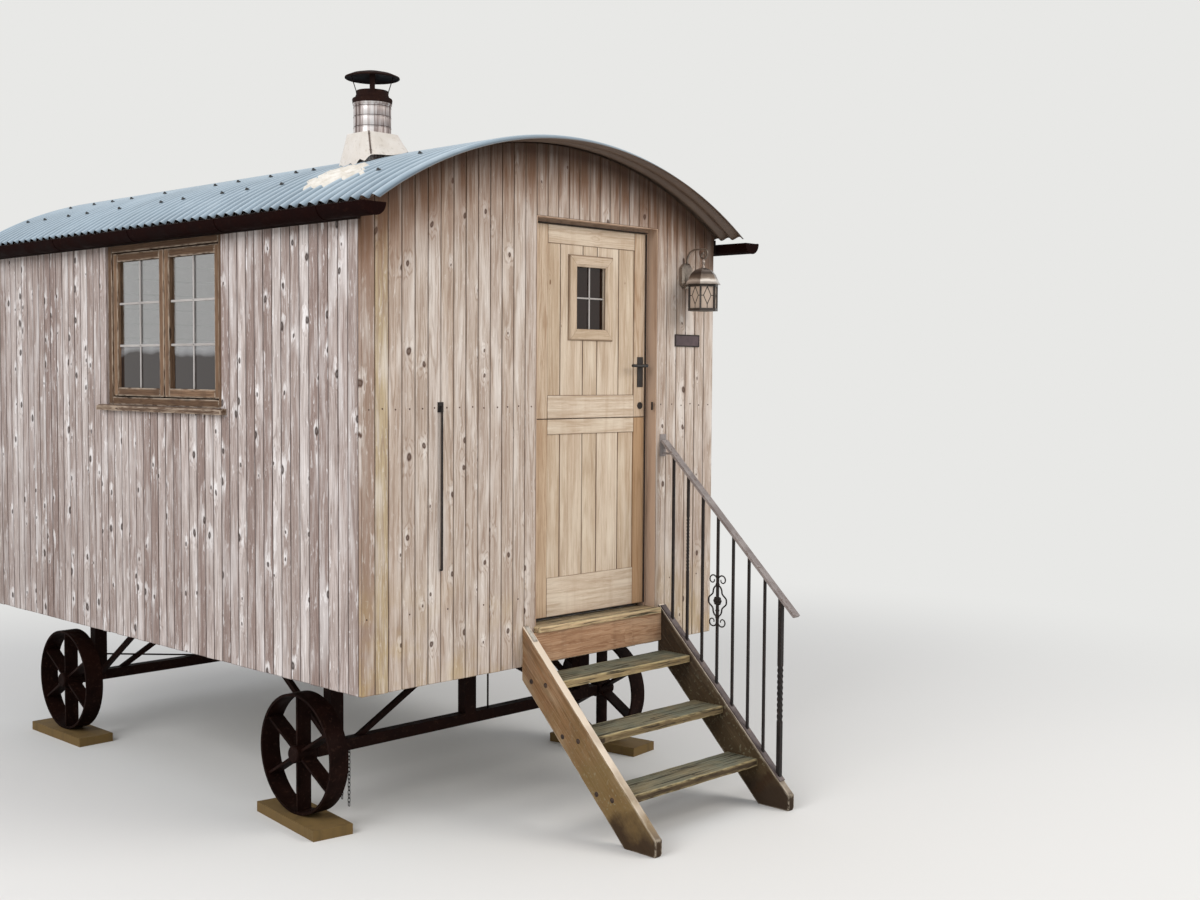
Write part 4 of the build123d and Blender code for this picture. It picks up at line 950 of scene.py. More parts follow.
for way in strap_ways:
    outward = np.array([cos(way), sin(way), 0])
    path = [outward * r + (flue_x, flue_y, z) for r, z in ((76, pipe_top + 22), (79, pipe_top + 46),
                                                          (97, brim_z - 10), (99, brim_z + 4))]
    straps.append(carried([(-13, -1.6), (13, -1.6), (13, 1.6), (-13, 1.6)], path, up=outward))
piece("flue_cowl_steel", [disc, pipe_collar] + straps, cowl_black, stands_for=["flue_cowl"])

# %% Flashing and sealant
def roof_height(x, y):
    """Height of the sheet's top at a place: centre + sqrt((arch radius + sheet + wave)^2 - x^2)."""
    crest = 0.5 - 0.5 * np.cos(2 * pi * (y + verge) / wave_pitch)
    return arch_centre + np.sqrt((roof_radius + sheet + wave_deep * crest) ** 2 - x ** 2)


skirt_count, skirt_top, skirt_neck, skirt_metal = 64, 3328, 98, 2.5
skirt_low, skirt_high = np.array([-738.0, 532.0]), np.array([-488.0, 826.0])


def flashing_skin(inset):
    """Rows run from a rounded square at the pipe to a larger one on the roof; the front corner is lifted, as
    the real sheet's is: point = top * (1 - s) + foot * s."""
    a = np.linspace(0, 2 * pi, skirt_count, endpoint=False)
    corner = np.abs(np.cos(a)) ** 7 + np.abs(np.sin(a)) ** 7
    unit = np.stack([np.cos(a), np.sin(a)], -1) / corner[:, None] ** (1 / 7)
    top = unit * (skirt_neck - inset) + (flue_x, flue_y)
    foot = (skirt_low + skirt_high) / 2 + unit * ((skirt_high - skirt_low) / 2 - inset)
    lift = 3 + 26 * np.exp(-((a - 1.25 * pi) / 0.55) ** 2)
    foot_z = roof_height(foot[:, 0], foot[:, 1]) + lift
    share = np.array([0, 0.04, 0.5, 0.97, 1.0])
    bell = np.array([0, 0.02, 0.46, 0.97, 1.0])
    flat = top[None] * (1 - bell[:, None, None]) + foot[None] * bell[:, None, None]
    height = (skirt_top - inset) * (1 - share[:, None]) + foot_z[None] * share[:, None]
    return np.concatenate([flat, height[..., None]], -1)


outside, inside = flashing_skin(0), flashing_skin(skirt_metal)
skirt_points = np.concatenate([outside[::-1], inside]).reshape(-1, 3)
skirt_rows = 2 * len(outside)
skirt_faces = [grid_faces(skirt_rows, skirt_count), closing_quads(skirt_rows, skirt_count)]
flashing_cream = metal_finish("cream_coated_flashing", "#D6CEC5", "#CCC2B6", rough=(0.5, 0.7),
                              spots="#A89C8C", spot_share=0.35)
piece("flashing_sheet", [part(skirt_points, skirt_faces)], flashing_cream,
      stands_for=["flue_flashing"], crease=24)
seam_path, seam_out = outside[:, 40] + (-1.5, -1.5, 1.5), (-0.6, -0.6, 0.5)
fold = carried([(-4, -1.5), (4, -1.5), (3, 2), (-3, 2)], seam_path[:4], up=seam_out)
seam_brown = metal_finish("dirty_folded_seam", "#4A3A32", "#6A5A50", rough=(0.6, 0.8), cloud=40)
screw_places = [seam_path[1] * 0.85 + seam_path[2] * 0.15, seam_path[2] * 0.35 + seam_path[3] * 0.65]
screws = domes(screw_places, seam_out, 6, 5)
piece("flashing_seam", [fold] + screws, seam_brown)
# The sealant is a low heap. Its ragged outline passes near these nine places, and it thins towards them.
patch_x = np.array([-1088, -1035, -945, -851, -770, -790, -870, -962, -1033.0])
patch_y = np.array([499, 631, 700, 731, 640, 500, 400, 305, 412.0])
patch_middle = np.array([patch_x.mean(), patch_y.mean()])
patch_angle = np.arctan2(patch_y - patch_middle[1], patch_x - patch_middle[0])
order = np.argsort(patch_angle)
patch_reach = np.hypot(patch_x - patch_middle[0], patch_y - patch_middle[1])
patch_count = 60
turn_angle = np.linspace(-pi, pi, patch_count, endpoint=False)
reach = np.interp(turn_angle, patch_angle[order], patch_reach[order], period=2 * pi)
reach *= 1 + 0.06 * np.sin(turn_angle * 7 + 1) + 0.05 * np.sin(turn_angle * 17)
rows_out = np.linspace(1, 0.08, 14)
patch_ways = np.stack([np.cos(turn_angle), np.sin(turn_angle)], -1)
patch_flat = patch_middle + (rows_out[:, None] * reach)[..., None] * patch_ways
ripple = 1.5 * np.sin(patch_flat[..., 0] / 19) * np.sin(patch_flat[..., 1] / 23)
thick = 5.5 * (1 - rows_out[:, None] ** 6) + ripple
patch_top = roof_height(patch_flat[..., 0], patch_flat[..., 1]) + np.maximum(thick, 0.6)
patch_low = roof_height(patch_flat[..., 0], patch_flat[..., 1]) - 1.0
sealant = np.concatenate([np.concatenate([patch_flat[::-1], patch_low[::-1, :, None]], -1),
                          np.concatenate([patch_flat, patch_top[..., None]], -1)])
cap_rows = len(rows_out)
patch_ring = np.arange(patch_count)
sealant_faces = [grid_faces(2 * cap_rows, patch_count), patch_ring[None, ::-1],
                 (patch_ring + (2 * cap_rows - 1) * patch_count)[None]]
silicone = metal_finish("white_roof_silicone", "#E8E2D8", "#CFC6B8", rough=(0.5, 0.7), cloud=18)
piece("roof_sealant", [part(sealant.reshape(-1, 3), sealant_faces)], silicone)

# %% [markdown]
# The oak joinery is browner than the boards and worn pale on its corners. The steps are wetter: green-grey
# tops, brown fronts, dark feet.

# %% Oak and step timbers
def treads_weather(m, colour, place, at, fibre, top="#7C7E6E", low="#4C4D3D"):
    """Upward faces turn green-grey, dark cracks run with the grain, and the lowest fronts are soaked."""
    up = add(m, "SeparateXYZ", {"Vector": add(m, "NewGeometry", out="Normal")}, out="Z")
    up = add(m, "MapRange", {"Value": up, "From Min": 0.5, "From Max": 0.9})
    moss = add(m, "ValToRGB", {"Fac": fibre}, stops=[(0.35, top), (0.62, low)])
    share = add(m, "TexNoise", {"Vector": place, "Scale": 6.0, "Detail": 4.0})
    share = add(m, "MapRange", {"Value": share, "From Min": 0.3, "From Max": 0.6, "To Min": 0.45,
                                "To Max": 0.95})
    share = add(m, "Math", {0: share, 1: up}, operation="MULTIPLY")
    colour = add(m, "Mix", {"Factor": share, "A": colour, "B": moss}, data_type="RGBA")
    crack = add(m, "Mapping", {"Vector": at, "Scale": (1 / 14, 1 / 300, 1 / 14)})
    crack = add(m, "TexNoise", {"Vector": crack, "Scale": 1.0, "Detail": 2.0})
    crack = add(m, "MapRange", {"Value": crack, "From Min": 0.56, "From Max": 0.61, "To Max": 0.9})
    colour = add(m, "Mix", {"Factor": crack, "A": colour, "B": "#2E281E"}, data_type="RGBA")
    height = add(m, "SeparateXYZ", {"Vector": place}, out="Z")
    soaked = add(m, "MapRange", {"Value": height, "From Min": 0.56, "From Max": 0.36, "To Max": 0.85})
    front = add(m, "MapRange", {"Value": up, "To Min": 1.0, "To Max": 0.0})
    soaked = add(m, "Math", {0: soaked, 1: front}, operation="MULTIPLY")
    return add(m, "Mix", {"Factor": soaked, "A": colour, "B": "#35281A"}, data_type="RGBA")


def threshold_weather(m, colour, place, at, fibre):
    """The threshold's top is trodden dry, so it is browner than the treads."""
    return treads_weather(m, colour, place, at, fibre, top="#AC9B7E", low="#75674F")


def stringer_weather_and_shade(m, colour, place, *rest):
    """A wet dark foot, olive algae above it, grey lichen spots; the string by the rail is darkened as
    painted shade.
    """
    height = add(m, "SeparateXYZ", {"Vector": place}, out="Z")
    blotch = add(m, "TexNoise", {"Vector": place, "Scale": 7.0, "Detail": 5.0})
    algae = add(m, "Math", {0: blotch, 1: -0.7, 2: height}, operation="MULTIPLY_ADD")
    algae = add(m, "MapRange", {"Value": algae, "From Min": 0.35, "From Max": -0.1, "To Max": 0.75})
    colour = add(m, "Mix", {"Factor": algae, "A": colour, "B": "#6E5A34"}, data_type="RGBA")
    wet = add(m, "Math", {0: blotch, 1: -0.35, 2: height}, operation="MULTIPLY_ADD")
    wet = add(m, "MapRange", {"Value": wet, "From Max": -0.1, "To Max": 0.88})
    colour = add(m, "Mix", {"Factor": wet, "A": colour, "B": "#2A1A0E"}, data_type="RGBA")
    across = add(m, "SeparateXYZ", {"Vector": place}, out="X")
    # painted shade: the right string, which stands in shade, is darkened towards #2E2115
    painted_shade_right_string = add(m, "MapRange", {"Value": across, "From Min": 0.3, "From Max": 0.7, "To Max": 0.72})
    colour = add(m, "Mix", {"Factor": painted_shade_right_string, "A": colour, "B": "#2E2115"}, data_type="RGBA")
    lichen = add(m, "TexNoise", {"Vector": place, "Scale": 60.0, "Detail": 5.0})
    lichen = add(m, "MapRange", {"Value": lichen, "From Min": 0.58, "From Max": 0.68, "To Max": 0.35})
    low = add(m, "MapRange", {"Value": height, "From Min": 0.85, "From Max": 0.2})
    lichen = add(m, "Math", {0: lichen, 1: low}, operation="MULTIPLY")
    dry = add(m, "MapRange", {"Value": wet, "From Min": 0.3, "From Max": 0.0})
    lichen = add(m, "Math", {0: lichen, 1: dry}, operation="MULTIPLY")
    colour = add(m, "Mix", {"Factor": lichen, "A": colour, "B": "#9A977C"}, data_type="RGBA")
    up = add(m, "SeparateXYZ", {"Vector": add(m, "NewGeometry", out="Normal")}, out="Z")
    up = add(m, "MapRange", {"Value": up, "From Min": 0.4, "From Max": 0.65, "To Max": 0.9})
    high = add(m, "Math", {0: blotch, 1: 0.9, 2: height}, operation="MULTIPLY_ADD")
    high = add(m, "MapRange", {"Value": high, "From Min": 0.5, "From Max": 0.95, "To Min": 0.15})
    up = add(m, "Math", {0: up, 1: high}, operation="MULTIPLY")
    return add(m, "Mix", {"Factor": up, "A": colour, "B": "#DDCDB9"}, data_type="RGBA")


window_oak = timber_finish("brown_oak_window_joinery", ["#5E4734", "#7C6049", "#866A52"], ring="#432E20",
                           knot="#2E1F16", knot_chance=0.15, worn="#C6B4A0", worn_share=0.7,
                           streak="#463326", streak_share=0.5, ring_size=26, cell=(60, 300),
                           joint="#1E130D", joint_share=0.9)
bar_strip = timber_finish(
    "pale_grey_glazing_strips", ["#B3ADA8", "#A39D98"], ring="#8C8580", knot="#6E6660", knot_chance=0.0,
    ring_share=0.2, fibre_share=0.2, worn="#CFCAC6", worn_share=0.5)
sill_oak = timber_finish(
    "weathered_sill_oak", ["#5E4838", "#6E5644"], ring="#3E2D22", knot="#2E2019", knot_chance=0.3,
    worn="#BCA995", worn_share=0.8, fibre_share=0.8, pale="#A8947F", fleck=0.6, relief=0.9)
fascia_timber = timber_finish(
    "dark_stained_fascia_timber", ["#140C0A", "#1C120E"], ring="#0E0807", knot="#0E0908", knot_chance=0.2,
    worn="#33261F", worn_share=0.4, streak="#0E0807", shine=0.06)
door_oak = timber_finish("pale_oiled_oak_door", ["#BCA389", "#C4B098", "#CFBDA8"], ring="#9C8064",
                         knot="#6E4C2E", knot_chance=0.12, knot_size=0.05, ring_share=0.32,
                         fibre_share=0.4, ring_size=60, pale="#DDCFBB", joint="#4A3020", joint_share=1.0,
                         streak="#AC9076", streak_share=0.4, relief=0.8)
stile_oak = timber_finish("orange_brown_oak_stiles", ["#B0906F", "#C0A78C", "#CBB8A2"], ring="#8E6C4C",
                          knot="#5A3A20", knot_chance=0.1, ring_share=0.4, ring_size=40, streak="#96704E",
                          streak_share=0.6, joint="#4A3020", joint_share=0.8)
frame_oak = timber_finish(
    "weathered_oak_door_frame", ["#B99E88", "#C5AC96"], ring="#7A604E", knot="#4E3C2C", knot_chance=0.3,
    streak="#7E5E48", streak_share=0.75, worn="#D0BAA3", worn_share=0.7)
threshold_oak = timber_finish(
    "wet_threshold_oak", ["#BA9D74", "#C8AC86"], ring="#5C4A30", knot="#332A1A", knot_chance=0.2,
    worn="#CDBA90", worn_share=0.8, extra=threshold_weather, relief=1.0)
riser_pine = timber_finish(
    "reddish_riser_board", ["#A98566", "#B8906F"], ring="#80583C", knot="#4A2A1A", knot_chance=0.6,
    cell=(170, 210), worn="#C09A78", worn_share=0.6, pale="#CDAF90", streak="#5C4230", streak_share=0.25)
tread_oak = timber_finish("green_grey_oak_treads", ["#9C8762", "#A8926A", "#8E7A57"], ring="#5E4A2C",
                          knot="#33261A", knot_chance=0.3, worn="#C8B484", worn_share=0.6,
                          extra=treads_weather, relief=1.0)
# painted shade: the first board colour, #33271B, is the right string's shaded look
stringer_oak = timber_finish(
    "brown_orange_oak_stringers", ["#33271B", "#866344"], ring="#5A4128", knot="#33210F", knot_chance=0.5,
    ring_share=0.55, pale="#A58E70", worn="#DCCDB6", worn_share=0.4, extra=stringer_weather_and_shade, relief=0.9)
plank_pine = timber_finish(
    "green_brown_wheel_planks", ["#6A5430", "#77603A"], ring="#52462C", knot="#2E2618", knot_chance=0.3,
    worn="#A6966A", worn_share=0.6, streak="#4A3E28", streak_share=0.6)
cut_oak = timber_finish(
    "mitred_oak_light_moulding", ["#BDA78E", "#C8B49E"], ring="#94795A", knot="#6E4C2E", knot_chance=0.0,
    ring_share=0.3, joint="#5A3F2A", joint_share=0.85, streak="#9A7E5C", streak_share=0.4)
dress(frame_oak, "door_frame")
dress(plank_pine, "wheel_planks")

# %% Beams between two corners
def beam(lo, hi, grain_axis, **more):
    """A timber block between two corners with its grain along one axis."""
    lo, hi = np.minimum(lo, hi), np.maximum(lo, hi)
    axes = np.eye(3)
    order = [(grain_axis + 1) % 3, (grain_axis + 2) % 3, grain_axis]
    size = (hi - lo)[order]
    return timber(size, lo, *axes[order], **more)

# %% [markdown]
# The steps are thick oak boards between two sloping strings. Feet and frost have rounded and split them, so
# the blocks get larger radii and slow waves along the grain. Each string is one board. The block is laid
# along the slope, and its ends are moved along the grain to the wall, the nose and the ground.

# %% Treads, threshold and riser
for k in (1, 2, 3):
    lo, hi = node_box("tread_%d" % k)
    piece("tread_%d_oak" % k, [beam(lo, hi, 0, radius=5, band=13, pieces=(4, 1, 40), rough_cut=1.6)],
          tread_oak, stands_for=["tread_%d" % k])
lo, hi = node_box("step_riser_board")
piece("riser_board", [beam(lo, hi, 0, radius=2, band=8, pieces=(2, 1, 8), tone=0.5)], riser_pine,
      stands_for=["step_riser_board"])
lo, hi = node_box("threshold")
nosing = beam(lo, (hi[0], 10, hi[2]), 0, radius=4, band=12, pieces=(3, 1, 36), rough_cut=1.2)
between_jambs = beam((lo[0] + 10.3, 8, lo[2]), (hi[0] - 10.3, hi[1], hi[2] - 0.5), 0, radius=1, band=8,
                     pieces=(3, 1, 8))
piece("threshold_oak", [nosing, between_jambs], threshold_oak, stands_for=["threshold"])

# %% Strings of the steps
string_top, string_nose, string_reach, string_deep = 940.0, 78.0, 876.0, 190.0
string_slope = (string_top - string_nose) / string_reach
uphill = np.array([0, 1, string_slope]) / hypot(1, string_slope)
downward = np.array([0, string_slope, -1]) / hypot(1, string_slope)
string_length = string_reach / uphill[1]


def string_ends(local):
    """Along the grain, the end at the foot lies on the ground or the nose, whichever comes first, and the
    other on the wall: low = max(-n_y d / s_y, (|n_z| d - nose) / s_z), high = (reach - n_y d) / s_y."""
    deep = local[:, 1]
    low = np.maximum(-downward[1] * deep / uphill[1], (-downward[2] * deep - string_nose) / uphill[2])
    high = (string_reach - downward[1] * deep) / uphill[1]
    share = local[:, 2] / string_length
    return np.stack([local[:, 0], deep, low + share * (high - low)], -1)


bolt_iron = speckled_metal("rusted_coach_bolts", "#2A1E18", "#4A362A", 0.65, 0.3)
bolt_spots = ((-66, 677), (-165, 674), (-282, 446), (-386, 443), (-508, 216), (-608, 208))
for side in ("left", "right"):
    lo, hi = node_box(side + "_stringer")
    # painted shade: the right string gets tone 0, the darkest board colour, as it stands in shade
    block = timber((hi[0] - lo[0], string_deep, string_length), (lo[0], -string_reach, string_nose),
                   (1, 0, 0), downward, uphill, radius=4, band=11, pieces=(2, 14, 60), rough_cut=1.2,
                   tone=1.0 if side == "left" else 0.0, reshape=string_ends)
    piece(side + "_string_oak", [block], stringer_oak, stands_for=[side + "_stringer"])
    face = lo[0] if side == "left" else hi[0]
    out = -1 if side == "left" else 1
    heads = [(face - out * 0.6, y, z) for y, z in bolt_spots]
    piece(side + "_string_bolts", domes(heads, (out, 0, 0), 10, 5, count=12, rings=4)
          + domes(heads, (out, 0, 0), 15, 1.6, count=14, rings=2), bolt_iron)

# %% Metal strip on the left string
strip_tin = speckled_metal("galvanised_fixing_strip", "#B9B2A8", "#8E867C", 0.5, 0.6)
lo, hi = node_box("left_stringer")
strip_x = (lo[0] + hi[0]) / 2
strip_start = np.array([strip_x - 13, -4, string_top - 4 * string_slope]) - downward * 1.0
strip = timber((26, 2.4, 95), strip_start - uphill * 95, (1, 0, 0), -downward, uphill, radius=0.8, band=2,
               tone=0.5)
strip_nail = [strip_start - uphill * 48 + (13, 0, 0) - downward * 2.2]
piece("string_fixing_strip", [strip] + domes(strip_nail, -downward, 6, 1.2, count=12), strip_tin)

# %% Windows
frame_wide, casement_wide, casement_gap, bar_wide = 40, 44, 2, 5
bar_faces = ((1158.2, 1165), (1151.8, 1145))


def four_sides(lo, hi, width, **more):
    """Two uprights and the two rails between them, all of one width, that fill the box's rim."""
    (x0, y0, z0), (x1, y1, z1) = lo, hi
    return [beam((x0, y0, z0), (x1, y0 + width, z1), 2, radius=3, pieces=(1, 1, 6), **more),
            beam((x0, y1 - width, z0), (x1, y1, z1), 2, radius=3, pieces=(1, 1, 6), **more),
            beam((x0, y0 + width, z0), (x1, y1 - width, z0 + width), 1, radius=3, pieces=(1, 1, 6), **more),
            beam((x0, y0 + width, z1 - width), (x1, y1 - width, z1), 1, radius=3, pieces=(1, 1, 6), **more)]


for side, out in (("left", -1), ("right", 1)):
    lo, hi = node_box(side + "_window_frame")
    piece(side + "_window_oak_frame", four_sides(lo, hi, frame_wide, band=9, tone=0.1), window_oak,
          stands_for=[side + "_window_frame"])
    lo, hi = node_box(side + "_casements")
    middle = (lo[1] + hi[1]) / 2
    pane_low, pane_high = lo[2] + casement_gap + casement_wide, hi[2] - casement_gap - casement_wide
    rails, bars = [], []
    casements = ((lo[1] + casement_gap, middle - 2 * casement_gap),
                 (middle + 2 * casement_gap, hi[1] - casement_gap))
    for y0, y1 in casements:
        rails += four_sides((lo[0], y0, lo[2] + casement_gap), (hi[0], y1, hi[2] - casement_gap),
                            casement_wide, band=10)
        near, far, yc = y0 + casement_wide, y1 - casement_wide, (y0 + y1) / 2
        for face in bar_faces:
            x0, x1 = sorted((out * face[0], out * face[1]))
            upright = (x0, yc - bar_wide, pane_low), (x1, yc + bar_wide, pane_high)
            bars.append(beam(*upright, 2, radius=2, band=4))
            for k in (1, 2):
                zc = pane_low + (pane_high - pane_low) * k / 3
                bars.append(beam((x0, near, zc - 6), (x1, far, zc + 6), 1, radius=2, band=4))
    piece(side + "_casement_oak", rails, window_oak, stands_for=[side + "_casements"])
    piece(side + "_glazing_bars", bars, bar_strip)
    lo, hi = node_box(side + "_window_sill")
    size_x = hi[0] - lo[0]

    def weathered(local, size_x=size_x, out=out):
        """The top falls outwards by 8 mm over its front 14 mm and the front is a little eaten away."""
        far = (size_x - local[:, 1]) if out < 0 else local[:, 1]
        drop = np.clip((far - (size_x - 16)) / 14, 0, 1) * 8 * (local[:, 0] > 16)
        return np.stack([local[:, 0] - drop, local[:, 1], local[:, 2]], -1)

    sill = timber((hi[2] - lo[2], size_x, hi[1] - lo[1]), lo, (0, 0, 1), (1, 0, 0), (0, 1, 0), radius=2.5,
                  band=9, pieces=(2, 4, 60), rough_cut=1.0, reshape=weathered)
    piece(side + "_sill_oak", [sill], sill_oak, stands_for=[side + "_window_sill"])

# %% [markdown]
# Under each eave runs a narrow dark board, cut flush with the corners, and a half-round gutter that reaches
# past both gables. A gutter is strip metal rolled to a half circle, with a bead along its front lip that
# keeps it straight, a stop end at both ends and straps below it. Its profile is two half circles.

# %% Eave boards and gutters
eave_hi = node_box("fascia_boards")[1]
eave_thick = eave_hi[0] - half_width
eave_foot = 2828
gutter_round, gutter_metal_thick, stop_end, bead_round = 56, 3, 3, 3.5
gutter_level = node_box("roof_sheet")[0][2] - 21
strap_wide, first_strap, strap_step = 26, 140, 822


def half_circle(radius):
    """Points at radius times (cosine, sine) of angles from a half turn to a full turn: the lower half."""
    angle = np.linspace(pi, 2 * pi, 25)
    return radius * np.stack([np.cos(angle), np.sin(angle)], -1)


def half_hoop(outer, inner):
    """The section of a half-round channel: the outer half circle, then the inner one backwards."""
    return np.concatenate([half_circle(outer), half_circle(inner)[::-1]])


for side, out in (("left", -1), ("right", 1)):
    x0, x1 = sorted((out * half_width, out * (half_width + eave_thick)))
    fascia = beam((x0, 2, eave_foot), (x1, hut_length - 2, eave_hi[2] - 6), 1, radius=2, band=8,
                  pieces=(1, 1, 12))
    piece(side + "_fascia", [fascia], fascia_timber,
          stands_for=["fascia_boards"] if side == "left" else ())
    lo, hi = node_box("gutter_" + side)
    axis = out * (half_width + eave_thick + gutter_round + 2)
    strap_round = max(abs(lo[0]), abs(hi[0])) - abs(axis)

    def along_eave(y0, y1, count=2, axis=axis):
        """Level stations of the gutter's axis."""
        return np.stack([np.full(count, axis), np.linspace(y0, y1, count), np.full(count, gutter_level)], -1)

    whole = along_eave(lo[1] + stop_end, hi[1] - stop_end, 40)
    runs = [carried(half_hoop(gutter_round, gutter_round - gutter_metal_thick), whole),
            carried(circle(bead_round, 10) + (out * (gutter_round - 2), -1.0), whole)]
    for end in (lo[1], hi[1] - stop_end):
        runs.append(carried(half_circle(gutter_round + 1.5), along_eave(end, end + stop_end)))
    hoop = half_hoop(strap_round, gutter_round + 0.2)
    hoop[:, 0] = out * np.maximum(out * hoop[:, 0], 0.2 - gutter_round - 2)
    for strap in range(5):
        y = first_strap + strap * strap_step
        runs.append(carried(hoop, along_eave(y, y + strap_wide)))
    piece(side + "_gutter_metal", runs, gutter_paint, stands_for=["gutter_" + side])

# %% [markdown]
# The door is split in two so that the top can stay open. Each leaf has upright boards with V joints between
# two stiles and two rails. The boards beside the light are notched round it: one full-height block whose
# points within the notch are pushed back, so no joint shows above or below the light.

# %% Door leaves
leaf_lo, leaf_hi = node_box("door_lower_leaf")
upper_lo, upper_hi = node_box("door_upper_leaf")
panel_left, panel_right = leaf_lo[0] + 112, leaf_hi[0] - 82
joints, door_joint = [panel_left, 83, 243, 348, 508, panel_right], 2.4
light = node_box("door_glass")
board_face = leaf_lo[1] + 5
board_deep = leaf_hi[1] - board_face - 4
notch_low, notch_high = light[0][2] - 1, light[1][2] + 1
door_tones = (0.25, 0.9, 0.55, 0.95, 0.35)


def door_board(a, b, low, high, tone, notch=None):
    """A board from a to b; notch gives the x limits that the light leaves it."""
    a, b = a + door_joint / 2, b - door_joint / 2

    def notched(local):
        """Within the light's height, x is squeezed into what the light leaves."""
        inside = (local[:, 2] > notch_low - low) & (local[:, 2] < notch_high - low)
        squeezed = (notch[0] - a) + local[:, 0] * (notch[1] - notch[0]) / (b - a)
        return np.stack([np.where(inside, squeezed, local[:, 0]), local[:, 1], local[:, 2]], -1)

    more = {}
    if notch is not None:
        edges = [edge - low + side for edge in (notch_low, notch_high) for side in (-0.2, 0.2)]
        more = {"lines_along": edges, "reshape": notched}
    return timber((b - a, board_deep, high - low), (a, board_face, low), radius=3.2, band=6.5,
                  pieces=(3, 1, 6), tone=tone, **more)


def rail(lo, hi, z0, z1, tone):
    """A level member between the stiles."""
    return beam((panel_left, lo[1], z0), (panel_right, hi[1], z1), 0, radius=2, band=5, pieces=(2, 1, 6),
                tone=tone)


def stile(lo, hi, left, tone):
    """An upright member at the hinge or the lock side."""
    x0, x1 = (lo[0], panel_left) if left else (panel_right, hi[0])
    return beam((x0, lo[1], lo[2]), (x1, hi[1], hi[2]), 2, radius=2, band=5, pieces=(2, 1, 8), tone=tone)


low_boards = [door_board(a, b, leaf_lo[2] + 194, leaf_hi[2] - 74, t)
              for a, b, t in zip(joints[:-1], joints[1:], door_tones)]
piece("lower_leaf_oak", low_boards + [rail(leaf_lo, leaf_hi, leaf_lo[2], leaf_lo[2] + 196, 0.9),
                                      rail(leaf_lo, leaf_hi, leaf_hi[2] - 76, leaf_hi[2], 0.7)],
      door_oak, "door", stands_for=["door_lower_leaf"])
low, high = upper_lo[2] + 114, upper_hi[2] - 90
hole_left, hole_right = light[0][0] - 0.5, light[1][0] + 0.5
high_boards = [door_board(joints[0], joints[1], low, high, 0.4),
               door_board(joints[1], joints[2], low, high, 0.9, (joints[1] + 1.2, hole_left)),
               door_board(joints[2], joints[3], low, notch_low, 0.7),
               door_board(joints[2], joints[3], notch_high, high, 0.7),
               door_board(joints[3], joints[4], low, high, 0.95, (hole_right, joints[4] - 1.2)),
               door_board(joints[4], joints[5], low, high, 0.6)]
piece("upper_leaf_oak", high_boards + [rail(upper_lo, upper_hi, upper_lo[2], upper_lo[2] + 116, 1.0),
                                       rail(upper_lo, upper_hi, upper_hi[2] - 92, upper_hi[2], 0.8)],
      door_oak, "door", stands_for=["door_upper_leaf"])
piece("door_stiles_oak", [stile(leaf_lo, leaf_hi, True, 0.5), stile(upper_lo, upper_hi, True, 0.85),
                          stile(leaf_lo, leaf_hi, False, 0.0), stile(upper_lo, upper_hi, False, 0.8)],
      stile_oak, "door")

# %% [markdown]
# The light's moulding is four lengths of one section mitred at the corners. The section is carried round the
# opening, and each corner's profile is stretched by the square root of two, which is what a mitre does.

# %% Moulding and bars of the light
mould_lo, mould_hi = node_box("door_light_moulding")


def framed(x0, x1, z0, z1, profile):
    """Four lengths round a rectangle. The profile's first number goes inwards from the outer edge and the
    second forwards. Both ends of a length are cut back by the first number, which mitres it."""
    made, shares = [], np.array([0, 0.02, 0.5, 0.98, 1])
    corners = [(x0, z0), (x1, z0), (x1, z1), (x0, z1)]
    profile = np.asarray(profile, float)
    for k in range(4):
        start, end = np.array(corners[k], float), np.array(corners[(k + 1) % 4], float)
        run = (end - start) / np.linalg.norm(end - start)
        inward = np.array([-run[1], run[0]])
        length = np.linalg.norm(end - start)
        rows = []
        for share in shares:
            along_run = profile[:, 0] + share * (length - 2 * profile[:, 0])
            flat = start + along_run[:, None] * run + profile[:, :1] * inward
            rows.append(np.stack([flat[:, 0], mould_hi[1] - profile[:, 1], flat[:, 1]], -1))
        points = np.stack(rows)
        n = len(profile)
        faces = [grid_faces(5, n)[:, ::-1], np.arange(n)[None], (np.arange(n) + 4 * n)[None, ::-1]]
        grain = np.stack([np.tile(profile[:, 0], 5), np.repeat(shares * length, n),
                          np.tile(profile[:, 1], 5)], -1) + rng.uniform(0, 900, 3)
        # The profile's lower half, next to the board, gets the joint colour: partly a dark joint line,
        # partly painted shade under the bottom length.
        touching = (profile[:, 1] < 0.5 * profile[:, 1].max()) * 1.0
        mitred = np.concatenate([np.ones(n) * 0.75, np.zeros(3 * n), np.ones(n) * 0.75])
        wear_and_shade = np.maximum(np.tile(touching, 5), mitred)
        made.append(part(points.reshape(-1, 3), faces, grain, (0.2, 0.7, 0.9, 0.5)[k], wear_and_shade))
    return made


wide = light[0][0] - mould_lo[0]
tall_face = mould_hi[1] - mould_lo[1]
section_points = [(0, 0), (0, tall_face * 0.3), (2, tall_face * 0.45), (9, tall_face),
                  (wide - 13, tall_face), (wide - 3, tall_face * 0.55), (wide, tall_face * 0.4), (wide, 0)]
piece("light_moulding_oak", framed(mould_lo[0], mould_hi[0], mould_lo[2], mould_hi[2], section_points),
      cut_oak, "door", stands_for=["door_light_moulding"], crease=20)
middle_x, middle_z = (light[0][0] + light[1][0]) / 2, (light[0][2] + light[1][2]) / 2
light_bars, bar_half = [], 4
for y0, y1 in ((76, light[0][1] - 0.2), (light[1][1] + 0.2, 98)):
    upright = (middle_x - bar_half, y0, light[0][2]), (middle_x + bar_half, y1, light[1][2])
    level = (light[0][0], y0, middle_z - bar_half), (light[1][0], y1, middle_z + bar_half)
    light_bars += [beam(*upright, 2, radius=2, band=4), beam(*level, 0, radius=2, band=4)]
piece("door_light_bars", light_bars, bar_strip, "door")

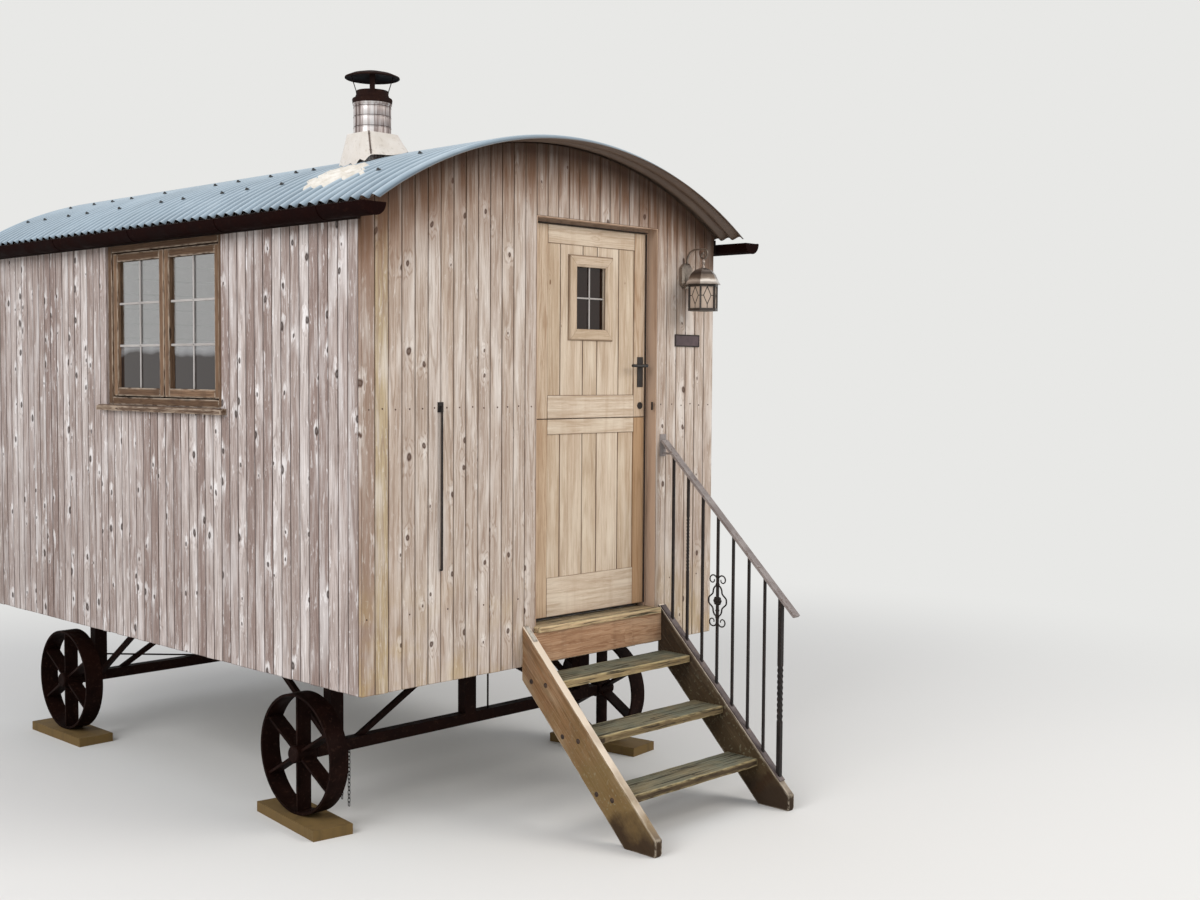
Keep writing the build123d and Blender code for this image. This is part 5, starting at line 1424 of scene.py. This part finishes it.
# %% [markdown]
# A black strip across the head is painted shade: it stands in for the shadow under the head. A black rubber
# seal closes the gap down the lock side, and a small steel keep sits in the jamb beside the lock.

# %% Painted shade strip, seal and keep
flat_black = speckled_metal("flat_black_strip", "#17110E", "#241B16", 0.8)
jamb_face = upper_hi[0] + 1.5
# painted shade: the first strip, under the head, is a dark strip put where the head's shadow falls
head_shade_strip_and_lock_seal = [beam((upper_lo[0], 44, upper_hi[2] + 1.2), (upper_hi[0], 62, upper_hi[2] + 5), 0, radius=2, band=4),
         beam((jamb_face, 56, leaf_lo[2]), (jamb_face + 3, 63, upper_hi[2]), 2, radius=1, band=3)]
piece("door_head_shade_strip_and_lock_seal", head_shade_strip_and_lock_seal, flat_black)
keep_iron = speckled_metal("blackened_steel_keep", "#2A221E", "#3E322A", 0.5, 0.4)
piece("lock_keep", [beam((jamb_face - 2, 3, 1977), (jamb_face + 4, 15, 2020), 2, radius=1, band=3)],
      keep_iron)

# %% [markdown]
# The balusters are square iron bars. The second from the wall and the last, thicker one were twisted hot in
# the middle, so their section turns along the bar. Each ends in the rail and in the flat foot bar.

# %% Balusters
rail_x = (node_box("handrail")[0][0] + node_box("handrail")[1][0]) / 2
rail_top, rail_foot, rail_run = 1826, 975, 892
rail_slope = (rail_top - rail_foot) / rail_run
first_bar, bar_space = 83, 102


def bar_part(number, half_side, twist_from=None, twist_to=None, turns=0.0):
    """A square section on an upright line; its angle grows evenly between the two heights."""
    y = -first_bar - bar_space * number
    low = string_top + y * string_slope + 3
    high = rail_top + y * rail_slope - 3
    heights, angle = np.array([low, high]), None
    if twist_from is not None:
        twisted = np.linspace(twist_from, twist_to, int(turns * 16) + 1)
        heights = np.concatenate([[low], twisted, [high]])
        angle = np.clip((heights - twist_from) / (twist_to - twist_from), 0, 1) * turns * 2 * pi
    square = np.array([(1, 1), (-1, 1), (-1, -1), (1, -1)]) * half_side
    path = np.stack([np.full(len(heights), rail_x), np.full(len(heights), y), heights], -1)
    return carried(square, path, up=(0, 1, 0), turn=angle)


thin, thick_bar = 6, 11
bars = [bar_part(0, thin), bar_part(1, thin, 1130, 1420, 4), bar_part(2, thin), bar_part(4, thin),
        bar_part(5, thin), bar_part(6, thin), bar_part(7, thick_bar, 430, 720, 2.5)]
piece("iron_balusters", bars, black_iron, stands_for=["balusters"], crease=25)

# %% [markdown]
# The fourth baluster carries an ornament: two curves like the sides of a violin round a flower, and a pair
# of scrolls at either end. A smith bends them over a jig, so each is one smooth curve with a round section.

# %% Ornament of the fourth baluster
ornament_y = -first_bar - bar_space * 3
flower_z = 997
violin_half, waist_from, waist_half, belly_half, violin_count = 80, 44, 27, 57, 41
scroll_count, scroll_large, scroll_small, scroll_side, scroll_up = 36, 33, 10, 32, 109
wire_round, petal_reach = 4.2, 16


def violin_side(sign):
    """Height h = half * sin(s). Half width is waist * sqrt(1 - ((h - from) / (half - from))^2) beyond from,
    and waist + (belly - waist) * (1 + cos(pi * (h - 8) / (from - 8))) / 2 within it."""
    rise = violin_half * np.sin(np.linspace(-pi / 2, pi / 2, violin_count))
    h = np.abs(rise)
    tip = waist_half * np.sqrt(np.clip(1 - ((h - waist_from) / (violin_half - waist_from)) ** 2, 0, 1))
    swell = np.clip((h - 8) / (waist_from - 8), 0, 1)
    belly = waist_half + (belly_half - waist_half) * (1 + np.cos(pi * swell)) / 2
    wide = np.where(h > waist_from, tip, belly)
    path = np.stack([np.full(violin_count, rail_x), ornament_y + sign * (wide + 2), flower_z + rise], -1)
    return carried(circle(wire_round, 8), path, up=(1, 0, 0))


def end_scroll(sign, end):
    """The radius falls from the large to the small one while the angle turns by 420 degrees."""
    share = np.linspace(0, 1, scroll_count)
    a = np.radians(228 - 420 * share)
    radius = scroll_large - (scroll_large - scroll_small) * share ** 0.8
    path = np.stack([np.full(scroll_count, rail_x), ornament_y + sign * (scroll_side + radius * np.cos(a)),
                     flower_z + end * (scroll_up + radius * np.sin(a))], -1)
    return carried(circle(wire_round, 8), path, up=(1, 0, 0), scale=1 - 0.3 * share)


petal_turn = np.arange(8) * pi / 4
flower = []
for facing in (-1, 1):
    petals = [(rail_x + facing * 2, ornament_y + petal_reach * sin(a), flower_z + petal_reach * cos(a))
              for a in petal_turn]
    flower += domes(petals, (facing, 0, 0), 10, 5.5, count=10, rings=3)
    heart = [(rail_x + facing * 2, ornament_y, flower_z)]
    flower += domes(heart, (facing, 0, 0), 10, 7.5, count=12, rings=4)
collar = np.array([8, 9, 5])
collar_places = [np.array([rail_x, ornament_y, flower_z + rise]) for rise in (-82, -50, 82)]
collars = [beam(place - collar, place + collar, 2, radius=2.5, band=3) for place in collar_places]
middle_parts = [bar_part(3, thin)] + [violin_side(side) for side in (-1, 1)]
scrolls = [end_scroll(side, end) for side in (-1, 1) for end in (-1, 1)]
piece("ornamental_baluster_iron", middle_parts + scrolls + flower + collars, black_iron,
      stands_for=["ornamental_baluster"])

# %% [markdown]
# Lead strips divide each of the lantern's six panes: a diamond in the middle, bars from its sides to the
# frame and a line from its foot down. They are thin strips standing just proud of the glass.

# %% Lantern leading
glass_lo, glass_hi = node_box("lantern_glass")
lamp_middle = (glass_lo + glass_hi) / 2
pane_away = (glass_hi[1] - glass_lo[1]) / 2 * cos(pi / 6)
pane_half = pane_away * np.tan(pi / 6) - 3
pane_mid = glass_hi[2] - 0.47 * (glass_hi[2] - glass_lo[2])
diamond_w, diamond_h = 21, 46
west, east, tip, foot = (-diamond_w, 0), (diamond_w, 0), (0, diamond_h), (0, -diamond_h)
lines = [(west, tip), (tip, east), (east, foot), (foot, west), ((-pane_half, 0), west),
         (east, (pane_half, 0)), (foot, (0, glass_lo[2] - pane_mid))]
strip = np.array([(-2.2, -1), (2.2, -1), (2.2, 1.6), (-2.2, 1.6)])
leading = []
for turn in np.arange(6) * pi / 3:
    out = np.array([cos(turn), sin(turn), 0])
    side = np.array([-sin(turn), cos(turn), 0])
    for start, end in lines:
        ends = [lamp_middle * (1, 1, 0) + out * pane_away + side * p[0] + np.array([0, 0, pane_mid + p[1]])
                for p in (start, end)]
        leading.append(carried(strip, ends, up=out))
piece("lantern_leading", leading, lantern_iron)

# %% [markdown]
# The slate plate on the wall is blank and has a raised black border. A short chain hangs from the front
# axle by the near wheel: its links are rounded loops, each turned a quarter from the last.

# %% Plate border and chain
plate_lo, plate_hi = node_box("wall_plate")
edge_in, border_parts = 6, []
left, low, right, high = plate_lo[0], plate_lo[2], plate_hi[0], plate_hi[2]
for x0, x1, z0, z1, axis in ((left, right, low, low + edge_in, 0), (left, right, high - edge_in, high, 0),
                             (left, left + edge_in, low + edge_in, high - edge_in, 2),
                             (right - edge_in, right, low + edge_in, high - edge_in, 2)):
    border = (x0, plate_lo[1] - 1.5, z0), (x1, plate_lo[1] + 1, z1)
    border_parts.append(beam(*border, axis, radius=0.8, band=2))
piece("plate_border", border_parts, flat_black)


def link(middle, long, wide, wire, quarter):
    """A loop of two straight runs and two half circles: half circle centre +- (long / 2 - wide / 2)."""
    a = np.linspace(0, 2 * pi, 12, endpoint=False)
    tall = np.sin(a) * wide / 2 + np.sign(np.sin(a)) * (long - wide) / 2
    across = np.cos(a) * wide / 2
    flat = np.zeros(12)
    path = np.stack([flat if quarter else across, across if quarter else flat, tall], -1) + middle
    return carried(circle(wire, 6), path, up=(1, 0, 0) if quarter else (0, 1, 0), loop=True)


chain, chain_y, chain_top, link_step = [], 675, 318, 19
link_long, link_wide, link_wire = 24, 13, 1.9
for strand_x, lowest in ((-811, 78), (-768, 34)):
    for k, z in enumerate(np.arange(lowest, chain_top, link_step)):
        sway = 2 * np.sin(z / 90 + strand_x)
        place = (strand_x + sway, chain_y + sway, z)
        chain.append(link(place, link_long, link_wide, link_wire, k % 2 == 0))
piece("wheel_chain", chain, black_iron)

# %% [markdown]
# The floor is a plain pale sheet that fades into the backdrop's tone far away. The light is soft: a pale sky
# all round and two large lamps, one warm from the front right, one cool from the left.

# %% Studio and camera
backdrop = "#E8E8E6"


def seen_ray(material):
    """1 for what the camera sees, straight, in a mirror or through glass, and 0 for light that bounces."""
    path = add(material, "LightPath", out="Is Camera Ray")
    seen = add(material, "Math", {0: path, 1: path.node.outputs["Is Glossy Ray"]}, operation="MAXIMUM")
    return add(material, "Math", {0: seen, 1: path.node.outputs["Is Transmission Ray"]}, operation="MAXIMUM")


def stage_finish():
    """Pale matt card that shows white to the camera, in mirrors and through glass, and keeps its shadows."""
    m = bare("pale_studio_floor")
    place = add(m, "TexCoord", out="Object")
    away = add(m, "VectorMath", {0: place}, operation="LENGTH", out="Value")
    far = add(m, "MapRange", {"Value": away, "From Min": 3.4, "From Max": 8.0},
              interpolation_type="SMOOTHSTEP")
    far = add(m, "Math", {0: far, 1: seen_ray(m)}, operation="MULTIPLY")
    matt = add(m, "BsdfDiffuse", {"Color": "#DCDAD6"})
    glow = add(m, "Emission", {"Color": backdrop, "Strength": 1.0})
    add(m, "OutputMaterial", {"Surface": add(m, "MixShader", {0: far, 1: matt, 2: glow})})
    return m


floor_mesh = bpy.data.meshes.new("studio_floor")
floor_mesh.from_pydata([(-40, -40, 0), (40, -40, 0), (40, 40, 0), (-40, 40, 0)], [], [(0, 1, 2, 3)])
floor_mesh.materials.append(stage_finish())
studio_floor = bpy.data.objects.new("studio_floor", floor_mesh)
bpy.context.scene.collection.objects.link(studio_floor)

world = bpy.data.worlds.new("soft_sky")
bpy.context.scene.world = world
world.use_nodes = True
world.node_tree.nodes.clear()
sky = add(world, "Background", {"Color": (0.92, 0.95, 1.0, 1), "Strength": 0.75})
card = add(world, "Background", {"Color": backdrop, "Strength": 1.0})
add(world, "OutputWorld", {"Surface": add(world, "MixShader", {0: seen_ray(world), 1: sky, 2: card})})


def lamp(name, place, target, size, power, colour):
    """A large square lamp that looks at a point."""
    data = bpy.data.lights.new(name, "AREA")
    data.size, data.energy, data.color = size, power, colour
    made = bpy.data.objects.new(name, data)
    look = np.array(target, float) - np.array(place, float)
    back = -look / np.linalg.norm(look)
    side = np.cross((0, 0, 1), back)
    side /= np.linalg.norm(side)
    rise = np.cross(back, side)
    made.matrix_world = Matrix([[side[r], rise[r], back[r], place[r]] for r in range(3)] + [[0, 0, 0, 1]])
    bpy.context.scene.collection.objects.link(made)


lamp("warm_front_lamp", (4.5, -10, 7.5), (0, -0.5, 1.6), 6, 620, (1.0, 0.97, 0.93))
lamp("cool_left_lamp", (-10, -2, 7), (-1, 0, 1.6), 6, 700, (0.97, 0.98, 1.0))

camera = bpy.data.cameras.new("photo_camera")
camera.lens, camera.sensor_width = 43.584, 36
eye = bpy.data.objects.new("photo_camera", camera)
bpy.context.scene.collection.objects.link(eye)
yaw, pitch, roll = radians(46.177), radians(-2.9825), radians(0.3945)
ahead = np.array([sin(yaw) * cos(pitch), cos(yaw) * cos(pitch), sin(pitch)])
right = np.array([cos(yaw), -sin(yaw), 0])
upward = np.cross(right, ahead)
tilted_right = cos(roll) * right + sin(roll) * upward
tilted_up = -sin(roll) * right + cos(roll) * upward
eye_place = (-5.0294, -6.6123, 2.1639)
eye.matrix_world = Matrix([[tilted_right[r], tilted_up[r], -ahead[r], eye_place[r]] for r in range(3)]
                          + [[0, 0, 0, 1]])
bpy.context.scene.camera = eye
bpy.context.scene.view_settings.view_transform = "Standard"
